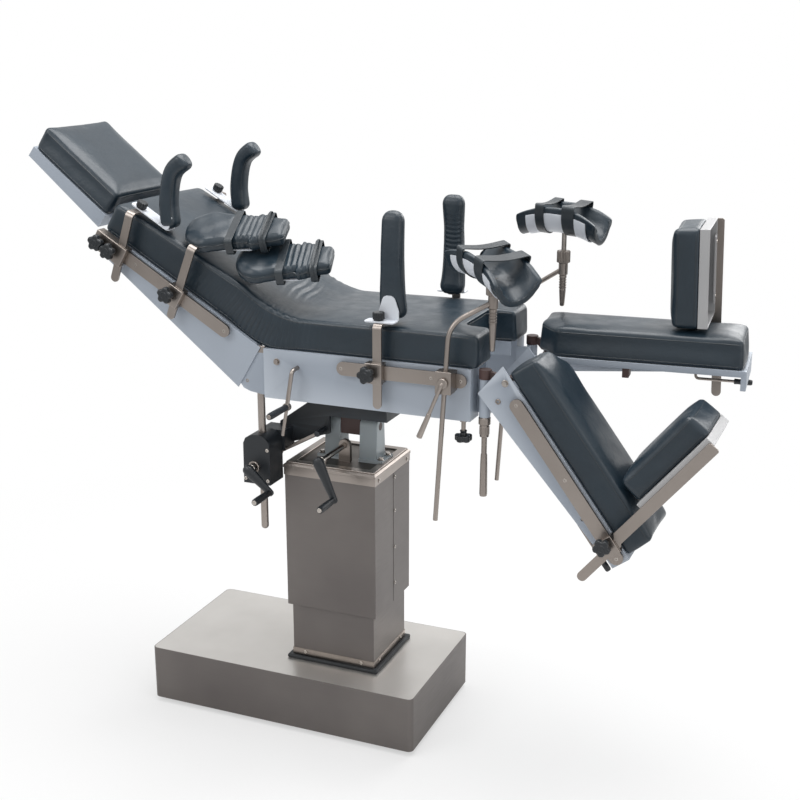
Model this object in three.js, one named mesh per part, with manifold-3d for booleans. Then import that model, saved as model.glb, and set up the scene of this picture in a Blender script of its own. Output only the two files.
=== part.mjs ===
// Operating table with a split leg section, in millimetres, +Z up, foot end along +X, near side along -Y.
import * as THREE from 'three';
import { mergeVertices } from 'three/addons/utils/BufferGeometryUtils.js';
import Module from 'manifold-3d';

const wasm = await Module();
wasm.setup();

// Clearances and round counts shared by every piece
const gap = 0.3;
const running = 0.5;
const overrun = 4;
const roundSides = 14;
const smallSides = 8;
const cornerSides = 3;
const archSides = 7;
const padSides = 12;
const degree = Math.PI / 180;

// Base, column and lift
const base = {
  length: 862, width: 466, height: 167, wall: 3, offset: -131, corner: 16,
  footRise: 15, footRadius: 24, footInset: 62, frameThickness: 12, windowInset: 90,
};
base.top = base.footRise + base.height;
base.frameTop = base.footRise + base.frameThickness;
const gasket = { margin: 15, height: 12 };
const inner = { length: 264, width: 236, wall: 3, height: 338 };
const outer = { length: 286, width: 256, wall: 3, bottom: 358, height: 432 };
const cap = { overhang: 3, thickness: 13, bevel: 5 };
const lift = { cylinderRadius: 42, bore: 31, cylinderHeight: 440, floor: 8, ramRadius: 30, ramLength: 470 };
const capTop = outer.height + cap.thickness;

// Trunnion brackets and cross head, measured from the sideways axis
const trunnion = {
  height: 103, earRadius: 27, earHalf: 33, leftFrom: -58, leftTo: -10, rightFrom: 52, rightTo: 106,
    pinRadius: 12,
  footOut: 22, footHalf: 40, footThickness: 10, boltRadius: 6, boltHeight: 7, boltInset: 11, boltPlace: 26,
};
const crossHead = { halfDepth: 25, drop: 26 };

// Tilt arm with its lugs, side extension and stay rod
const arm = {
  halfDepth: 58, slotHalf: 48, slotMargin: 8, right: 150, top: 79, webLow: 32, rampFrom: -80, sink: 2,
  rampEnd: { x: -190, z: -1 }, tip: { x: -200, z: -76 }, elbow: { x: -30, z: -21 },
  lugInner: 42, lugThickness: 16, lugRadius: 24, lugBase: 36,
  sideFrom: -226, sideTo: -150, sideLow: -74, sideHigh: -12,
};
const stay = { radius: 5, y: -100, fromX: -168, fromZ: -78, toX: -46, toZ: -10, lugRadius: 9 };

// Gearbox and tilt screw
const gearbox = {
  x: -200, y: -150, halfLength: 43, halfWidth: 40, low: -156, high: -8, shoulder: 38,
  bossRadius: 17, bossLength: 7, shaftX: -207, shaftZ: -104, shaftRadius: 8, shaftDepth: 20,
};
const screw = { radius: 11, low: -306, headThickness: 12, slotShift: 10, slotHalf: 34, slotHeight: 26,
  rim: 9 };

// Seat section, x from the column axis and z from the top of the seat frame
const seat = { top: 809, left: -145, right: 460, halfWidth: 230, depth: 140, skin: 3, endStrip: 67 };
const nose = {
  thickness: 4.4, joinFrom: -143, joinTo: -115, tipX: -228, topZ: -25, lowZ: -134, crownZ: -75,
  neckX: -212, chin: -120, lowX: -191, heel: -128,
};
const crossPin = { x: -200, z: -98, radius: 9 };
const tiltAxis = { x: 112, drop: 117, radius: 11, lugThickness: 12, lugHalf: 42 };
const cutout = { halfWidth: 105, depth: 62, radius: 28, wallHeight: 40 };
const rail = {
  half: 19, thickness: 8, standoff: 8, centre: -29, from: 84, to: 454, spacerRadius: 8,
    spacers: [97, 356, 438],
};
const cushion = {
  thickness: 92, crown: 7, roll: 12, drawIn: 4, corner: 14, overhang: 15, sideInset: 4, foldEnd: -40,
};

// Back section, measured along it from its hinge
const back = {
  hingeX: -156, hingeDrop: 14, angle: 31, length: 575, from: 7, webFrom: 22, slope: 0.14, endWall: 50,
    endInset: 17,
  lugInner: 196, lugThickness: 12, lugRadius: 12, lugLength: 32, pinRadius: 8,
  railFrom: 100, railTo: 508, railCentre: -19, spacers: [116, 300, 440],
  cushionFrom: 134, cushionTo: 588, cushionRise: 24,
};

// Head section, measured along it from its hinge
const head = {
  hingeAlong: 582, hingeDrop: 14, rise: 9, angle: 7.5, from: 51, to: 351, halfWidth: 157, top: 3,
  depthNear: 46, depthFar: 34, pinRadius: 6, lugRadius: 10, lugInner: 96, lugThickness: 12, lugLength: 64,
  cushionFrom: 47, cushionTo: 350, cushionThickness: 74, mitre: 0.2,
};

// Leg sections, x from the flex pivot of one leg and y outward from its middle
const swivel = {
  x: 492, y: 206, pinRadius: 10, tubeRadius: 15, tubeTop: -26, low: -128, high: -22, webHalf: 5,
  armHalf: 12, armThickness: 12, crownRadius: 17, crownHeight: 26,
};
const leg = {
  pivotX: 552, pivotDrop: 27, centre: 113.5, width: 225, skin: 3, from: -40, to: 550, top: 20,
  lowX: -16, lowZ: -80, endDepth: 52, stepDepth: 60, stepX: 496, webFrom: 30,
  pinRadius: 9, pinLow: -60, cheekInner: -58, cheekThickness: 12, bossLength: 9,
  railFrom: 46, railTo: 546, railCentre: -2, spacers: [62, 290, 530],
  cushionFrom: -18, cushionTo: 543, cushionThickness: 82, chamferLength: 60, chamferDepth: 80,
  nearFlex: 53.6, farFlex: 0, nearSwing: 0, farSwing: 4.5,
};
const lock = {
  collarRadius: 16, collarHeight: 20, neckRadius: 13, neckHeight: 34, stemRadius: 7.5, stemHeight: 48,
  gripTop: 8, gripEnd: 10.5, gripHeight: 118,
};

// Foot plates and release levers of the legs
const foot = {
  below: 118, above: 370, nearAlong: 500, farAlong: 455, nearLean: 14, farLean: 2, width: 26,
  nearFrom: 142, nearTo: 396, farFrom: 116, farTo: 382, panInner: -83, panOuter: 107, panDepth: 26,
    panSkin: 3,
  strapFrom: 150, strapTo: 340, cushionThickness: 70, cushionMargin: 5,
};
const release = {
  x: 402, z: -28, run: 108, drop: 30, radius: 4, gripRadius: 8, gripLength: 48, inset: 30,
  bossRadius: 9, bossLength: 9,
};

// Rail clamps, star knobs and flat bars
const clamp = { toward: 15, away: 34, jaw: 8, lipFrom: 12, lipGap: 2, depth: 18 };
const knob = { radius: 22, thickness: 17, lobes: 6, lobeDepth: 5, stemRadius: 5, stemLength: 12,
  offset: 21 };
const bar = { width: 25, thickness: 6 };

// Side supports, shoulder supports and arm supports
const sideBar = {
  nearX: 208, farX: 240, above: 133, below: 97, endY: 206, padShift: 16,
  plateLength: 78, plateDepth: 40, plateThickness: 4, uprightHeight: 66,
  padHeight: 286, padWidth: 64, padThickness: 36, padRise: 3, padBow: 16,
};
const shoulder = {
  nearAlong: 488, farAlong: 488, lean: 12.5, above: 130, below: 80, endY: 196,
  plateLength: 108, plateTail: 28, plateDepth: 46, plateThickness: 4, plateRise: 14,
  away: 92, secondKnob: 70, firstKnob: 27, padWidth: 46, padThickness: 44, padY: 12,
  padPath: [[104, 4], [62, 70], [38, 146], [56, 205]],
};
const armBoard = {
  nearAlong: 281, farAlong: 150, lean: 9.5, above: 158, below: 66, farAbove: 148, nearEnd: 214, farEnd: -96,
  padLength: 300, padWidth: 152, padThickness: 30, corner: 60, crown: 6, stemRadius: 9, discHeight: 8,
};
armBoard.near = { x: 79, y: -85, z: 68, yaw: -11, rise: 8.5, roll: -36, stemX: 10, stemY: -50, stemZ: 44 };
armBoard.far = { x: 112, y: -54, z: 52, yaw: 11, rise: 8.5, roll: 36, stemX: 50, stemY: -40, stemZ: 62 };

// Leg holders and their troughs
const holder = {
  lean: 3.5, radius: 6.5, clampHalf: 22, clampHalfHeight: 30, clampDepth: 34, rodY: 264,
  leverRun: 62, leverDrop: 150, leverRadius: 6, sleeveRadius: 13, sleeveHalf: 17, stemRadius: 7,
  collarRadius: 19, collarHeight: 34, gripTop: 10, gripEnd: 6.5,
};
holder.near = { x: 402, below: 384, above: 152, reachX: 97, reachY: 60, reachZ: 55, linkHeight: 16, turn: 35,
  tilt: -14, gripLength: 112 };
holder.far = { x: 402, below: 446, above: 119, reachX: 160, reachY: 36, reachZ: 105, linkHeight: 70,
  turn: -6, tilt: -4, gripLength: 90 };
const trough = { length: 236, inner: 52, wall: 15, arc: 96 };

// Cranks
const crank = {
  hubRadius: 15, hubLength: 22, armThickness: 9, armHalf: 11, tipRadius: 13, gripRadius: 10, gripLength: 88,
};
const lateralCrank = {
  x: 14, rise: 50, radius: 8, from: -30, hubAt: 222, armLength: 112, angle: 24,
  bearingRadius: 18, bearingFrom: 40, bearingTo: 54,
};
const tiltCrank = { armLength: 88, hubAt: 226, angle: 50 };
const backCrank = {
  x: -41, z: -45, radius: 6, out: 32, armLength: 106, tail: 86, tailRadius: 4.5, angle: -10,
  gripLength: 104, gripRadius: 9, inside: 60, collarRadius: 11, collarLength: 14, bossRadius: 13,
    bossLength: 22,
};
const underKnob = { x: 436, y: 212, radius: 6, bossRadius: 10, bossHeight: 24, stemDrop: 42,
  headThickness: 20 };

// Finishes
const finish = (color, metalness,
  roughness) => new THREE.MeshStandardMaterial({ color, metalness, roughness });
const steel = finish('#b9b2ac', 0.9, 0.34);
const polished = finish('#d8d4cf', 1, 0.18);
const greyPaint = finish('#aab2bf', 0.1, 0.45);
const bracketPaint = finish('#a9b1b3', 0.1, 0.5);
const casting = finish('#24272a', 0.3, 0.5);
const brownCasting = finish('#4b3633', 0.3, 0.55);
const blackPlastic = finish('#1d2126', 0, 0.4);
const leather = finish('#3a444c', 0, 0.42);
const rubber = finish('#22252a', 0, 0.7);

// Solids by their limits, rounds along an axis, and outlines pushed through a thickness
function solid(geometry) {
  const bare = geometry.clone();
  bare.deleteAttribute('normal');
  bare.deleteAttribute('uv');
  const merged = mergeVertices(bare);
  const vertProperties = Float32Array.from(merged.attributes.position.array);
  const triVerts = Uint32Array.from(merged.index.array);
  return new wasm.Manifold(new wasm.Mesh({ numProp: 3, vertProperties, triVerts }));
}

function geometryOf(body) {
  const mesh = body.getMesh();
  const geometry = new THREE.BufferGeometry();
  geometry.setAttribute('position', new THREE.BufferAttribute(Float32Array.from(mesh.vertProperties), 3));
  geometry.setIndex(new THREE.BufferAttribute(Uint32Array.from(mesh.triVerts), 1));
  return geometry;
}

const joined = (...bodies) => bodies.reduce((whole, body) => whole.add(body));
const cut = (body, ...cutters) => cutters.reduce((whole, cutter) => whole.subtract(cutter), body);

function block(x0, x1, y0, y1, z0, z1) {
  const shape = new THREE.BoxGeometry(x1 - x0, y1 - y0, z1 - z0);
  return solid(shape.translate((x0 + x1) / 2, (y0 + y1) / 2, (z0 + z1) / 2));
}

const turnFor = {
  x: (shape) => shape.rotateZ(-Math.PI / 2),
  y: (shape) => shape,
  z: (shape) => shape.rotateX(Math.PI / 2),
};

function coneAlong(axis, radiusFrom, radiusTo, from, to, at, sides = roundSides) {
  const shape = turnFor[axis](new THREE.CylinderGeometry(radiusTo, radiusFrom, to - from, sides));
  const middle = new THREE.Vector3(at.x ?? 0, at.y ?? 0, at.z ?? 0);
  middle[axis] = (from + to) / 2;
  return solid(shape.translate(middle.x, middle.y, middle.z));
}

const rod = (axis, radius, from, to, at, sides) => coneAlong(axis, radius, radius, from, to, at, sides);

function ball(radius, at, sides = smallSides) {
  return solid(new THREE.SphereGeometry(radius, sides, sides / 2).translate(at.x, at.y, at.z));
}

// A round bar from one point to another
function strut(radius, from, to, sides = smallSides) {
  const run = new THREE.Vector3().subVectors(to, from);
  const shape = new THREE.CylinderGeometry(radius, radius, run.length(), sides);
  const turn = new THREE.Quaternion().setFromUnitVectors(new THREE.Vector3(0, 1, 0),
    run.clone().normalize());
  shape.applyQuaternion(turn);
  const middle = new THREE.Vector3().addVectors(from, to).multiplyScalar(1 / 2);
  return solid(shape.translate(middle.x, middle.y, middle.z));
}

// A bent round bar through a list of points, with round elbows
function bentRod(radius, points, sides = smallSides) {
  const runs = points.slice(1).map((point, i) => strut(radius, points[i], point, sides));
  const elbows = points.slice(1, -1).map((point) => ball(radius, point, sides));
  return joined(...runs, ...elbows);
}

function outline(points) {
  return new THREE.Shape(points.map(([u, v]) => new THREE.Vector2(u, v)));
}

function pushed(shape, depth, curveSegments = cornerSides) {
  return new THREE.ExtrudeGeometry(shape, { depth, bevelEnabled: false, curveSegments });
}

const alongZ = (shape, z0, z1) => solid(pushed(shape, z1 - z0).translate(0, 0, z0));
const alongY = (shape, y0, y1, curveSegments = cornerSides) => (
  solid(pushed(shape, y1 - y0, curveSegments).rotateX(Math.PI / 2).translate(0, y1, 0)));

function alongX(shape, x0, x1, curveSegments = cornerSides) {
  const basis = new THREE.Matrix4().makeBasis(
    new THREE.Vector3(0, 1, 0), new THREE.Vector3(0, 0, 1), new THREE.Vector3(1, 0, 0));
  return solid(pushed(shape, x1 - x0, curveSegments).applyMatrix4(basis).translate(x0, 0, 0));
}

// A rectangle with round corners
function roundedRectangle(u0, u1, v0, v1, radius) {
  const shape = new THREE.Shape();
  shape.moveTo(u0 + radius, v0);
  shape.lineTo(u1 - radius, v0);
  shape.absarc(u1 - radius, v0 + radius, radius, -Math.PI / 2, 0);
  shape.lineTo(u1, v1 - radius);
  shape.absarc(u1 - radius, v1 - radius, radius, 0, Math.PI / 2);
  shape.lineTo(u0 + radius, v1);
  shape.absarc(u0 + radius, v1 - radius, radius, Math.PI / 2, Math.PI);
  shape.lineTo(u0, v0 + radius);
  shape.absarc(u0 + radius, v0 + radius, radius, Math.PI, Math.PI * 3 / 2);
  return shape;
}

const stadium = (u0, u1, v0, v1) => roundedRectangle(u0, u1, v0, v1, Math.min(u1 - u0, v1 - v0) / 2 - gap);

// A closed body through rings of equal count, each end closed by a fan
function loft(rings) {
  const count = rings[0].length;
  const positions = rings.flat().flatMap((point) => [point.x, point.y, point.z]);
  const index = [];
  for (let r = 0; r < rings.length - 1; r += 1) {
    for (let i = 0; i < count; i += 1) {
      const next = (i + 1) % count;
      const low = r * count;
      const high = low + count;
      index.push(low + i, low + next, high + next, low + i, high + next, high + i);
    }
  }
  const centres = [rings[0], rings[rings.length - 1]].map((ring) => {
    const centre = new THREE.Vector3();
    ring.forEach((point) => centre.add(point));
    return centre.multiplyScalar(1 / count);
  });
  const first = positions.length / 3;
  centres.forEach((centre) => positions.push(centre.x, centre.y, centre.z));
  const last = (rings.length - 1) * count;
  for (let i = 0; i < count; i += 1) {
    const next = (i + 1) % count;
    index.push(first, next, i, first + 1, last + i, last + next);
  }
  const geometry = new THREE.BufferGeometry();
  geometry.setAttribute('position', new THREE.Float32BufferAttribute(positions, 3));
  geometry.setIndex(volumeOf(positions, index) < 0 ? index.reverse() : index);
  return geometry;
}

function volumeOf(positions, index) {
  const corner = (i) => new THREE.Vector3().fromArray(positions, index[i] * 3);
  let total = 0;
  for (let i = 0; i < index.length; i += 3) {
    total += corner(i).dot(corner(i + 1).cross(corner(i + 2)));
  }
  return total;
}

// The share of the roll, of the thickness and of the draw-in that each ring of a cushion takes
const cushionRingShares = [
  [0.45, 0, 0], [0, 0.1, 0], [0, 0.45, 1], [0, 0.8, 0.4], [0.35, 0.95, 0], [1, 1, 0],
];
const crownRingShares = [[0.35, 0.55], [0.7, 0.92]];

// A crowned cushion with drawn-in sides over a rectangle, its flat base at zero
function cushionGeometry(x0, x1, y0, y1, thickness, cornerRadius, form = cushion) {
  const midX = (x0 + x1) / 2;
  const midY = (y0 + y1) / 2;
  const ringAt = (inset, z) => {
    const radius = Math.max(cornerRadius - inset, cornerRadius / 2);
    const shape = roundedRectangle(x0 + inset, x1 - inset, y0 + inset, y1 - inset, radius);
    return shape.getPoints(cornerSides).slice(0, -1).map((point) => new THREE.Vector3(point.x, point.y, z));
  };
  const shoulderHeight = thickness - form.crown;
  const rings = cushionRingShares.map(([rollShare, heightShare, drawShare]) => (
    ringAt(rollShare * form.roll + drawShare * form.drawIn, heightShare * shoulderHeight)));
  const rim = rings[rings.length - 1];
  crownRingShares.forEach(([inwardShare, crownShare]) => {
    rings.push(rim.map((point) => new THREE.Vector3(
      point.x + (midX - point.x) * inwardShare,
      point.y + (midY - point.y) * inwardShare,
      shoulderHeight + form.crown * crownShare)));
  });
  return loft(rings);
}

// A long pad through oval rings along a path, as wide as given along one axis, round at both ends
const padRingShares = [[0, 0.45], [0.04, 0.8], [0.12, 1], [0.35, 1], [0.6, 1], [0.88, 1], [0.96, 0.8],
  [1, 0.45]];

function padGeometry(points, widthAxis, width, thickness) {
  const path = new THREE.CatmullRomCurve3(points);
  const rings = padRingShares.map(([along, size]) => {
    const centre = path.getPointAt(along);
    const normal = new THREE.Vector3().crossVectors(path.getTangentAt(along), widthAxis).normalize();
    return Array.from({ length: padSides }, (_, i) => {
      const angle = (i / padSides) * Math.PI * 2;
      return centre.clone()
        .addScaledVector(widthAxis, Math.cos(angle) * size * width / 2)
        .addScaledVector(normal, Math.sin(angle) * size * thickness / 2);
    });
  });
  return loft(rings);
}

const alongAxis = { x: new THREE.Vector3(1, 0, 0), y: new THREE.Vector3(0, 1, 0) };

function starShape() {
  const steps = knob.lobes * 3;
  return outline(Array.from({ length: steps }, (_, i) => {
    const angle = (i / steps) * Math.PI * 2;
    const radius = knob.radius - knob.lobeDepth * (1 - Math.cos(angle * knob.lobes)) / 2;
    return [Math.cos(angle) * radius, Math.sin(angle) * radius];
  }));
}

// A star knob on its stem, standing out from a face along +Y
function starKnob(x, face, z) {
  const head = pushed(starShape(), knob.thickness).rotateX(Math.PI / 2);
  head.translate(x, face + knob.stemLength + knob.thickness, z);
  return joined(rod('y', knob.stemRadius, face - running, face + knob.stemLength + running, { x, z },
    smallSides), solid(head));
}

// A body turned about the Y axis, and a geometry set at its place with its turns in degrees
const leaned = (body, degrees) => solid(geometryOf(body).rotateY(degrees * degree));

function placed(geometry, { roll = 0, rise = 0, yaw = 0, x = 0, y = 0, z = 0 }) {
  return geometry.rotateX(roll * degree).rotateY(-rise * degree).rotateZ(yaw * degree).translate(x, y, z);
}

function rectangularTube(length, width, wall, z0, z1) {
  const halfX = length / 2;
  const halfY = width / 2;
  return cut(
    block(-halfX, halfX, -halfY, halfY, z0, z1),
    block(-halfX + wall, halfX - wall, -halfY + wall, halfY - wall, z0 - overrun, z1 + overrun));
}

// Placing of pieces: modelled for the far side, mirrored for the near side
const table = new THREE.Group();

function mirrored(geometry) {
  const image = geometry.clone().scale(1, -1, 1);
  image.setIndex([...geometry.index.array].reverse());
  return image;
}

function piece(parent, name, body, material, side = 1) {
  const geometry = body.isBufferGeometry ? body : geometryOf(body);
  const mesh = new THREE.Mesh(side < 0 ? mirrored(geometry) : geometry, material);
  mesh.name = name;
  parent.add(mesh);
}

function axisGroup(parent, name, x, y, z) {
  const group = new THREE.Group();
  group.name = name;
  group.position.set(x, y, z);
  parent.add(group);
  return group;
}

const sides = [
  { name: 'near', sign: -1 },
  { name: 'far', sign: 1 },
];

// Base: frame plate on four feet, cover, gasket, fixed column shell and lift cylinder
const coverLow = base.offset - base.length / 2;
const coverHigh = base.offset + base.length / 2;
const coverHalf = base.width / 2;
const innerHalfX = inner.length / 2;
const innerHalfY = inner.width / 2;

function coverOutline(inset) {
  return roundedRectangle(coverLow + inset, coverHigh - inset, -coverHalf + inset, coverHalf - inset,
    base.corner);
}

piece(table, 'base_cover', cut(
  alongZ(coverOutline(0), base.footRise, base.top),
  alongZ(coverOutline(base.wall), base.footRise - overrun, base.top - base.wall),
  block(-innerHalfX - gap, innerHalfX + gap, -innerHalfY - gap, innerHalfY + gap, base.footRise,
    base.top + overrun),
), steel);

const footPlaces = [coverLow + base.footInset, coverHigh - base.footInset].flatMap((x) => (
  [coverHalf - base.footInset, -coverHalf + base.footInset].map((y) => ({ x, y }))));
piece(table, 'base_frame', cut(
  joined(
    alongZ(coverOutline(base.wall + gap), base.footRise, base.frameTop),
    ...footPlaces.map((place) => rod('z', base.footRadius, 0, base.frameTop - gap, place))),
  block(coverLow + base.windowInset, -innerHalfX - base.windowInset / 2,
    -coverHalf + base.windowInset, coverHalf - base.windowInset, 0, base.frameTop + overrun),
), casting);

piece(table, 'column_gasket', cut(
  block(-innerHalfX - gasket.margin, innerHalfX + gasket.margin, -innerHalfY - gasket.margin,
    innerHalfY + gasket.margin, base.top + gap, base.top + gasket.height),
  block(-innerHalfX - gap, innerHalfX + gap, -innerHalfY - gap, innerHalfY + gap, base.top,
    base.top + base.height),
), rubber);

piece(table, 'inner_column_shell',
  rectangularTube(inner.length, inner.width, inner.wall, base.frameTop + gap, base.top + inner.height),
    steel);

piece(table, 'lift_cylinder', cut(
  rod('z', lift.cylinderRadius, base.frameTop + gap, base.frameTop + lift.cylinderHeight, {}),
  rod('z', lift.bore, base.frameTop + lift.floor, base.frameTop + lift.cylinderHeight + overrun, {}),
), greyPaint);

// Lift body: outer shell, column cap with the crank bearing, lift ram and trunnion brackets
const liftBody = axisGroup(table, 'lift_axis', 0, 0, outer.bottom);
piece(liftBody, 'outer_column_shell',
  rectangularTube(outer.length, outer.width, outer.wall, 0, outer.height), steel);

function rectangleRing(inset, z) {
  const halfX = outer.length / 2 + cap.overhang - inset;
  const halfY = outer.width / 2 + cap.overhang - inset;
  return [[-1, -1], [1, -1], [1, 1],
    [-1, 1]].map(([sx, sy]) => new THREE.Vector3(sx * halfX, sy * halfY, z));
}

const shaftHeight = capTop + lateralCrank.rise;
piece(liftBody, 'column_top_plate', cut(
  joined(
    solid(loft([rectangleRing(0, outer.height + gap), rectangleRing(0, capTop - cap.bevel),
      rectangleRing(cap.bevel, capTop)])),
    block(lateralCrank.x - lateralCrank.bearingRadius, lateralCrank.x + lateralCrank.bearingRadius,
      -lateralCrank.bearingTo, -lateralCrank.bearingFrom, capTop - cap.bevel, shaftHeight),
    rod('y', lateralCrank.bearingRadius, -lateralCrank.bearingTo, -lateralCrank.bearingFrom,
      { x: lateralCrank.x, z: shaftHeight })),
  rod('y', lateralCrank.radius + running, -lateralCrank.bearingTo - overrun,
    -lateralCrank.bearingFrom + overrun,
    { x: lateralCrank.x, z: shaftHeight }),
), steel);

piece(liftBody, 'lift_ram', rod('z', lift.ramRadius, outer.height - lift.ramLength, outer.height, {}),
  polished);

const sidewaysHeight = capTop + trunnion.height;

function trunnionBracket(from, to, footFrom, footTo, boltX) {
  const ear = new THREE.Shape();
  const footZ = capTop + gap;
  ear.moveTo(-trunnion.earHalf, footZ);
  ear.lineTo(trunnion.earHalf, footZ);
  ear.lineTo(trunnion.earRadius, sidewaysHeight);
  ear.absarc(0, sidewaysHeight, trunnion.earRadius, 0, Math.PI);
  const bolts = [-trunnion.boltPlace, trunnion.boltPlace].map((y) => (
    rod('z', trunnion.boltRadius, footZ, footZ + trunnion.footThickness + trunnion.boltHeight,
      { x: boltX, y }, smallSides)));
  return cut(
    joined(
      alongX(ear, from, to, archSides),
      block(footFrom, footTo, -trunnion.footHalf, trunnion.footHalf, footZ, footZ + trunnion.footThickness),
      ...bolts),
    rod('x', trunnion.pinRadius + running, from - overrun, to + overrun, { z: sidewaysHeight }));
}

piece(liftBody, 'trunnion_bracket_left', trunnionBracket(trunnion.leftFrom, trunnion.leftTo,
  trunnion.leftFrom - trunnion.footOut, trunnion.leftTo, trunnion.leftFrom - trunnion.boltInset),
  bracketPaint);
piece(liftBody, 'trunnion_bracket_right', trunnionBracket(trunnion.rightFrom, trunnion.rightTo,
  trunnion.rightFrom, trunnion.rightTo + trunnion.footOut, trunnion.rightTo + trunnion.boltInset),
  bracketPaint);

// Hand cranks: shaft along Y outward on the near side, arm by its angle from straight down
function crankPoint(length, angle) {
  return { x: Math.sin(angle * degree) * length, z: -Math.cos(angle * degree) * length };
}

function handCrank(form, shaftRadius, shaftEnd) {
  const tip = crankPoint(form.armLength, form.angle);
  const y0 = -form.hubAt - crank.armThickness / 2;
  const y1 = -form.hubAt + crank.armThickness / 2;
  const sideways = crankPoint(crank.armHalf, form.angle + 90);
  const armOutline = [[sideways.x, sideways.z], [tip.x + sideways.x, tip.z + sideways.z],
    [tip.x - sideways.x, tip.z - sideways.z], [-sideways.x, -sideways.z]];
  return joined(
    rod('y', shaftRadius, -form.hubAt, shaftEnd, {}),
    rod('y', crank.hubRadius, -form.hubAt - crank.hubLength / 2, -form.hubAt + crank.hubLength / 2, {}),
    alongY(outline(armOutline), y0, y1),
    rod('y', crank.tipRadius, y0, y1, tip),
    rod('y', crank.gripRadius, y0 - crank.gripLength, y1 - running, tip));
}

const lateralCrankAxis = axisGroup(liftBody, 'lateral_crank_axis', lateralCrank.x, 0, shaftHeight);
piece(lateralCrankAxis, 'lateral_tilt_crank',
  handCrank(lateralCrank, lateralCrank.radius, lateralCrank.from), casting);

// Cradle on the sideways axis: cross head, tilt arm and gearbox
const cradle = axisGroup(liftBody, 'lateral_tilt_axis', 0, 0, sidewaysHeight);
const tiltRise = seat.top - sidewaysHeight - tiltAxis.drop;
const crossPinRise = seat.top - sidewaysHeight + crossPin.z;

piece(cradle, 'cross_head', joined(
  block(trunnion.leftTo + gap, trunnion.rightFrom - gap, -crossHead.halfDepth, crossHead.halfDepth,
    -crossHead.drop, arm.webLow - gap),
  rod('x', trunnion.pinRadius, trunnion.leftFrom, trunnion.rightTo, {}),
), brownCasting);

function lug(x, z, radius, halfBase, baseZ) {
  const shape = new THREE.Shape();
  const up = z > baseZ ? 1 : -1;
  shape.moveTo(x - halfBase * up, baseZ);
  shape.lineTo(x + halfBase * up, baseZ);
  shape.lineTo(x + radius * up, z);
  shape.absarc(x, z, radius, up > 0 ? 0 : Math.PI, up > 0 ? Math.PI : Math.PI * 2);
  return shape;
}

const armBody = alongY(outline([
  [arm.right, arm.webLow], [arm.right, arm.top], [arm.rampFrom, arm.top], [arm.rampEnd.x, arm.rampEnd.z],
  [arm.tip.x, arm.tip.z], [arm.elbow.x, arm.elbow.z], [arm.elbow.x, arm.webLow],
]), -arm.halfDepth, arm.halfDepth);
const armSlot = block(trunnion.leftFrom - arm.slotMargin, trunnion.rightTo + arm.slotMargin,
  -arm.slotHalf, arm.slotHalf, arm.tip.z, arm.webLow);
const armLug = lug(tiltAxis.x, tiltRise, arm.lugRadius, arm.lugBase, arm.top - arm.sink);
const lugOuter = arm.lugInner + arm.lugThickness;
const gearFace = gearbox.y + gearbox.halfWidth;
piece(cradle, 'tilt_arm', cut(
  joined(
    armBody.subtract(armSlot),
    alongY(armLug, -lugOuter, -arm.lugInner, archSides),
    alongY(armLug, arm.lugInner, lugOuter, archSides),
    block(arm.sideFrom, arm.sideTo, gearFace + gap, -arm.slotHalf, arm.sideLow, arm.sideHigh),
    strut(stay.radius, new THREE.Vector3(stay.fromX, stay.y, stay.fromZ),
      new THREE.Vector3(stay.toX, stay.y, stay.toZ)),
    ball(stay.lugRadius, { x: stay.fromX, y: stay.y, z: stay.fromZ }),
    rod('y', stay.lugRadius, stay.y - stay.lugRadius, -arm.slotHalf - running, { x: stay.toX, z: stay.toZ },
      smallSides)),
  rod('y', tiltAxis.radius + running, -lugOuter - overrun, lugOuter + overrun,
    { x: tiltAxis.x, z: tiltRise }),
), casting);

const gearTop = new THREE.Shape();
gearTop.moveTo(gearbox.x - gearbox.halfLength, gearbox.low);
gearTop.lineTo(gearbox.x + gearbox.halfLength, gearbox.low);
gearTop.lineTo(gearbox.x + gearbox.halfLength, gearbox.high - gearbox.shoulder);
gearTop.quadraticCurveTo(gearbox.x + gearbox.halfLength, gearbox.high, gearbox.x, gearbox.high);
gearTop.quadraticCurveTo(gearbox.x - gearbox.halfLength, gearbox.high,
  gearbox.x - gearbox.halfLength, gearbox.high - gearbox.shoulder);
const gearNear = gearbox.y - gearbox.halfWidth;
const gearShaft = { x: gearbox.shaftX, z: gearbox.shaftZ };
piece(cradle, 'gearbox_housing', cut(
  joined(
    alongY(gearTop, gearNear, gearFace, archSides / 2),
    rod('y', gearbox.bossRadius, gearNear - gearbox.bossLength, gearNear + running, gearShaft)),
  rod('z', screw.radius + running, gearbox.low - overrun, gearbox.high + overrun,
    { x: gearbox.x, y: gearbox.y }),
  rod('y', gearbox.shaftRadius + running, gearNear - gearbox.bossLength - overrun,
    gearNear + gearbox.shaftDepth, gearShaft),
), casting);

const tiltCrankAxis = axisGroup(cradle, 'tilt_crank_axis', gearbox.shaftX, 0, gearbox.shaftZ);
piece(tiltCrankAxis, 'tilt_crank',
  handCrank(tiltCrank, gearbox.shaftRadius, gearNear + gearbox.shaftDepth - gap), casting);

const screwAxis = axisGroup(cradle, 'tilt_screw_axis', gearbox.x, gearbox.y, 0);
const eyeHalf = screw.slotHeight / 2;
piece(screwAxis, 'tilt_screw', cut(
  joined(
    rod('z', screw.radius, screw.low, crossPinRise - eyeHalf - running, {}),
    alongY(roundedRectangle(
      screw.slotShift - screw.slotHalf - screw.rim, screw.slotShift + screw.slotHalf + screw.rim,
      crossPinRise - eyeHalf - screw.rim, crossPinRise + eyeHalf + screw.rim, eyeHalf,
    ), -screw.headThickness / 2, screw.headThickness / 2)),
  alongY(stadium(screw.slotShift - screw.slotHalf, screw.slotShift + screw.slotHalf,
    crossPinRise - eyeHalf, crossPinRise + eyeHalf), -screw.headThickness, screw.headThickness),
), polished);

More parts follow.
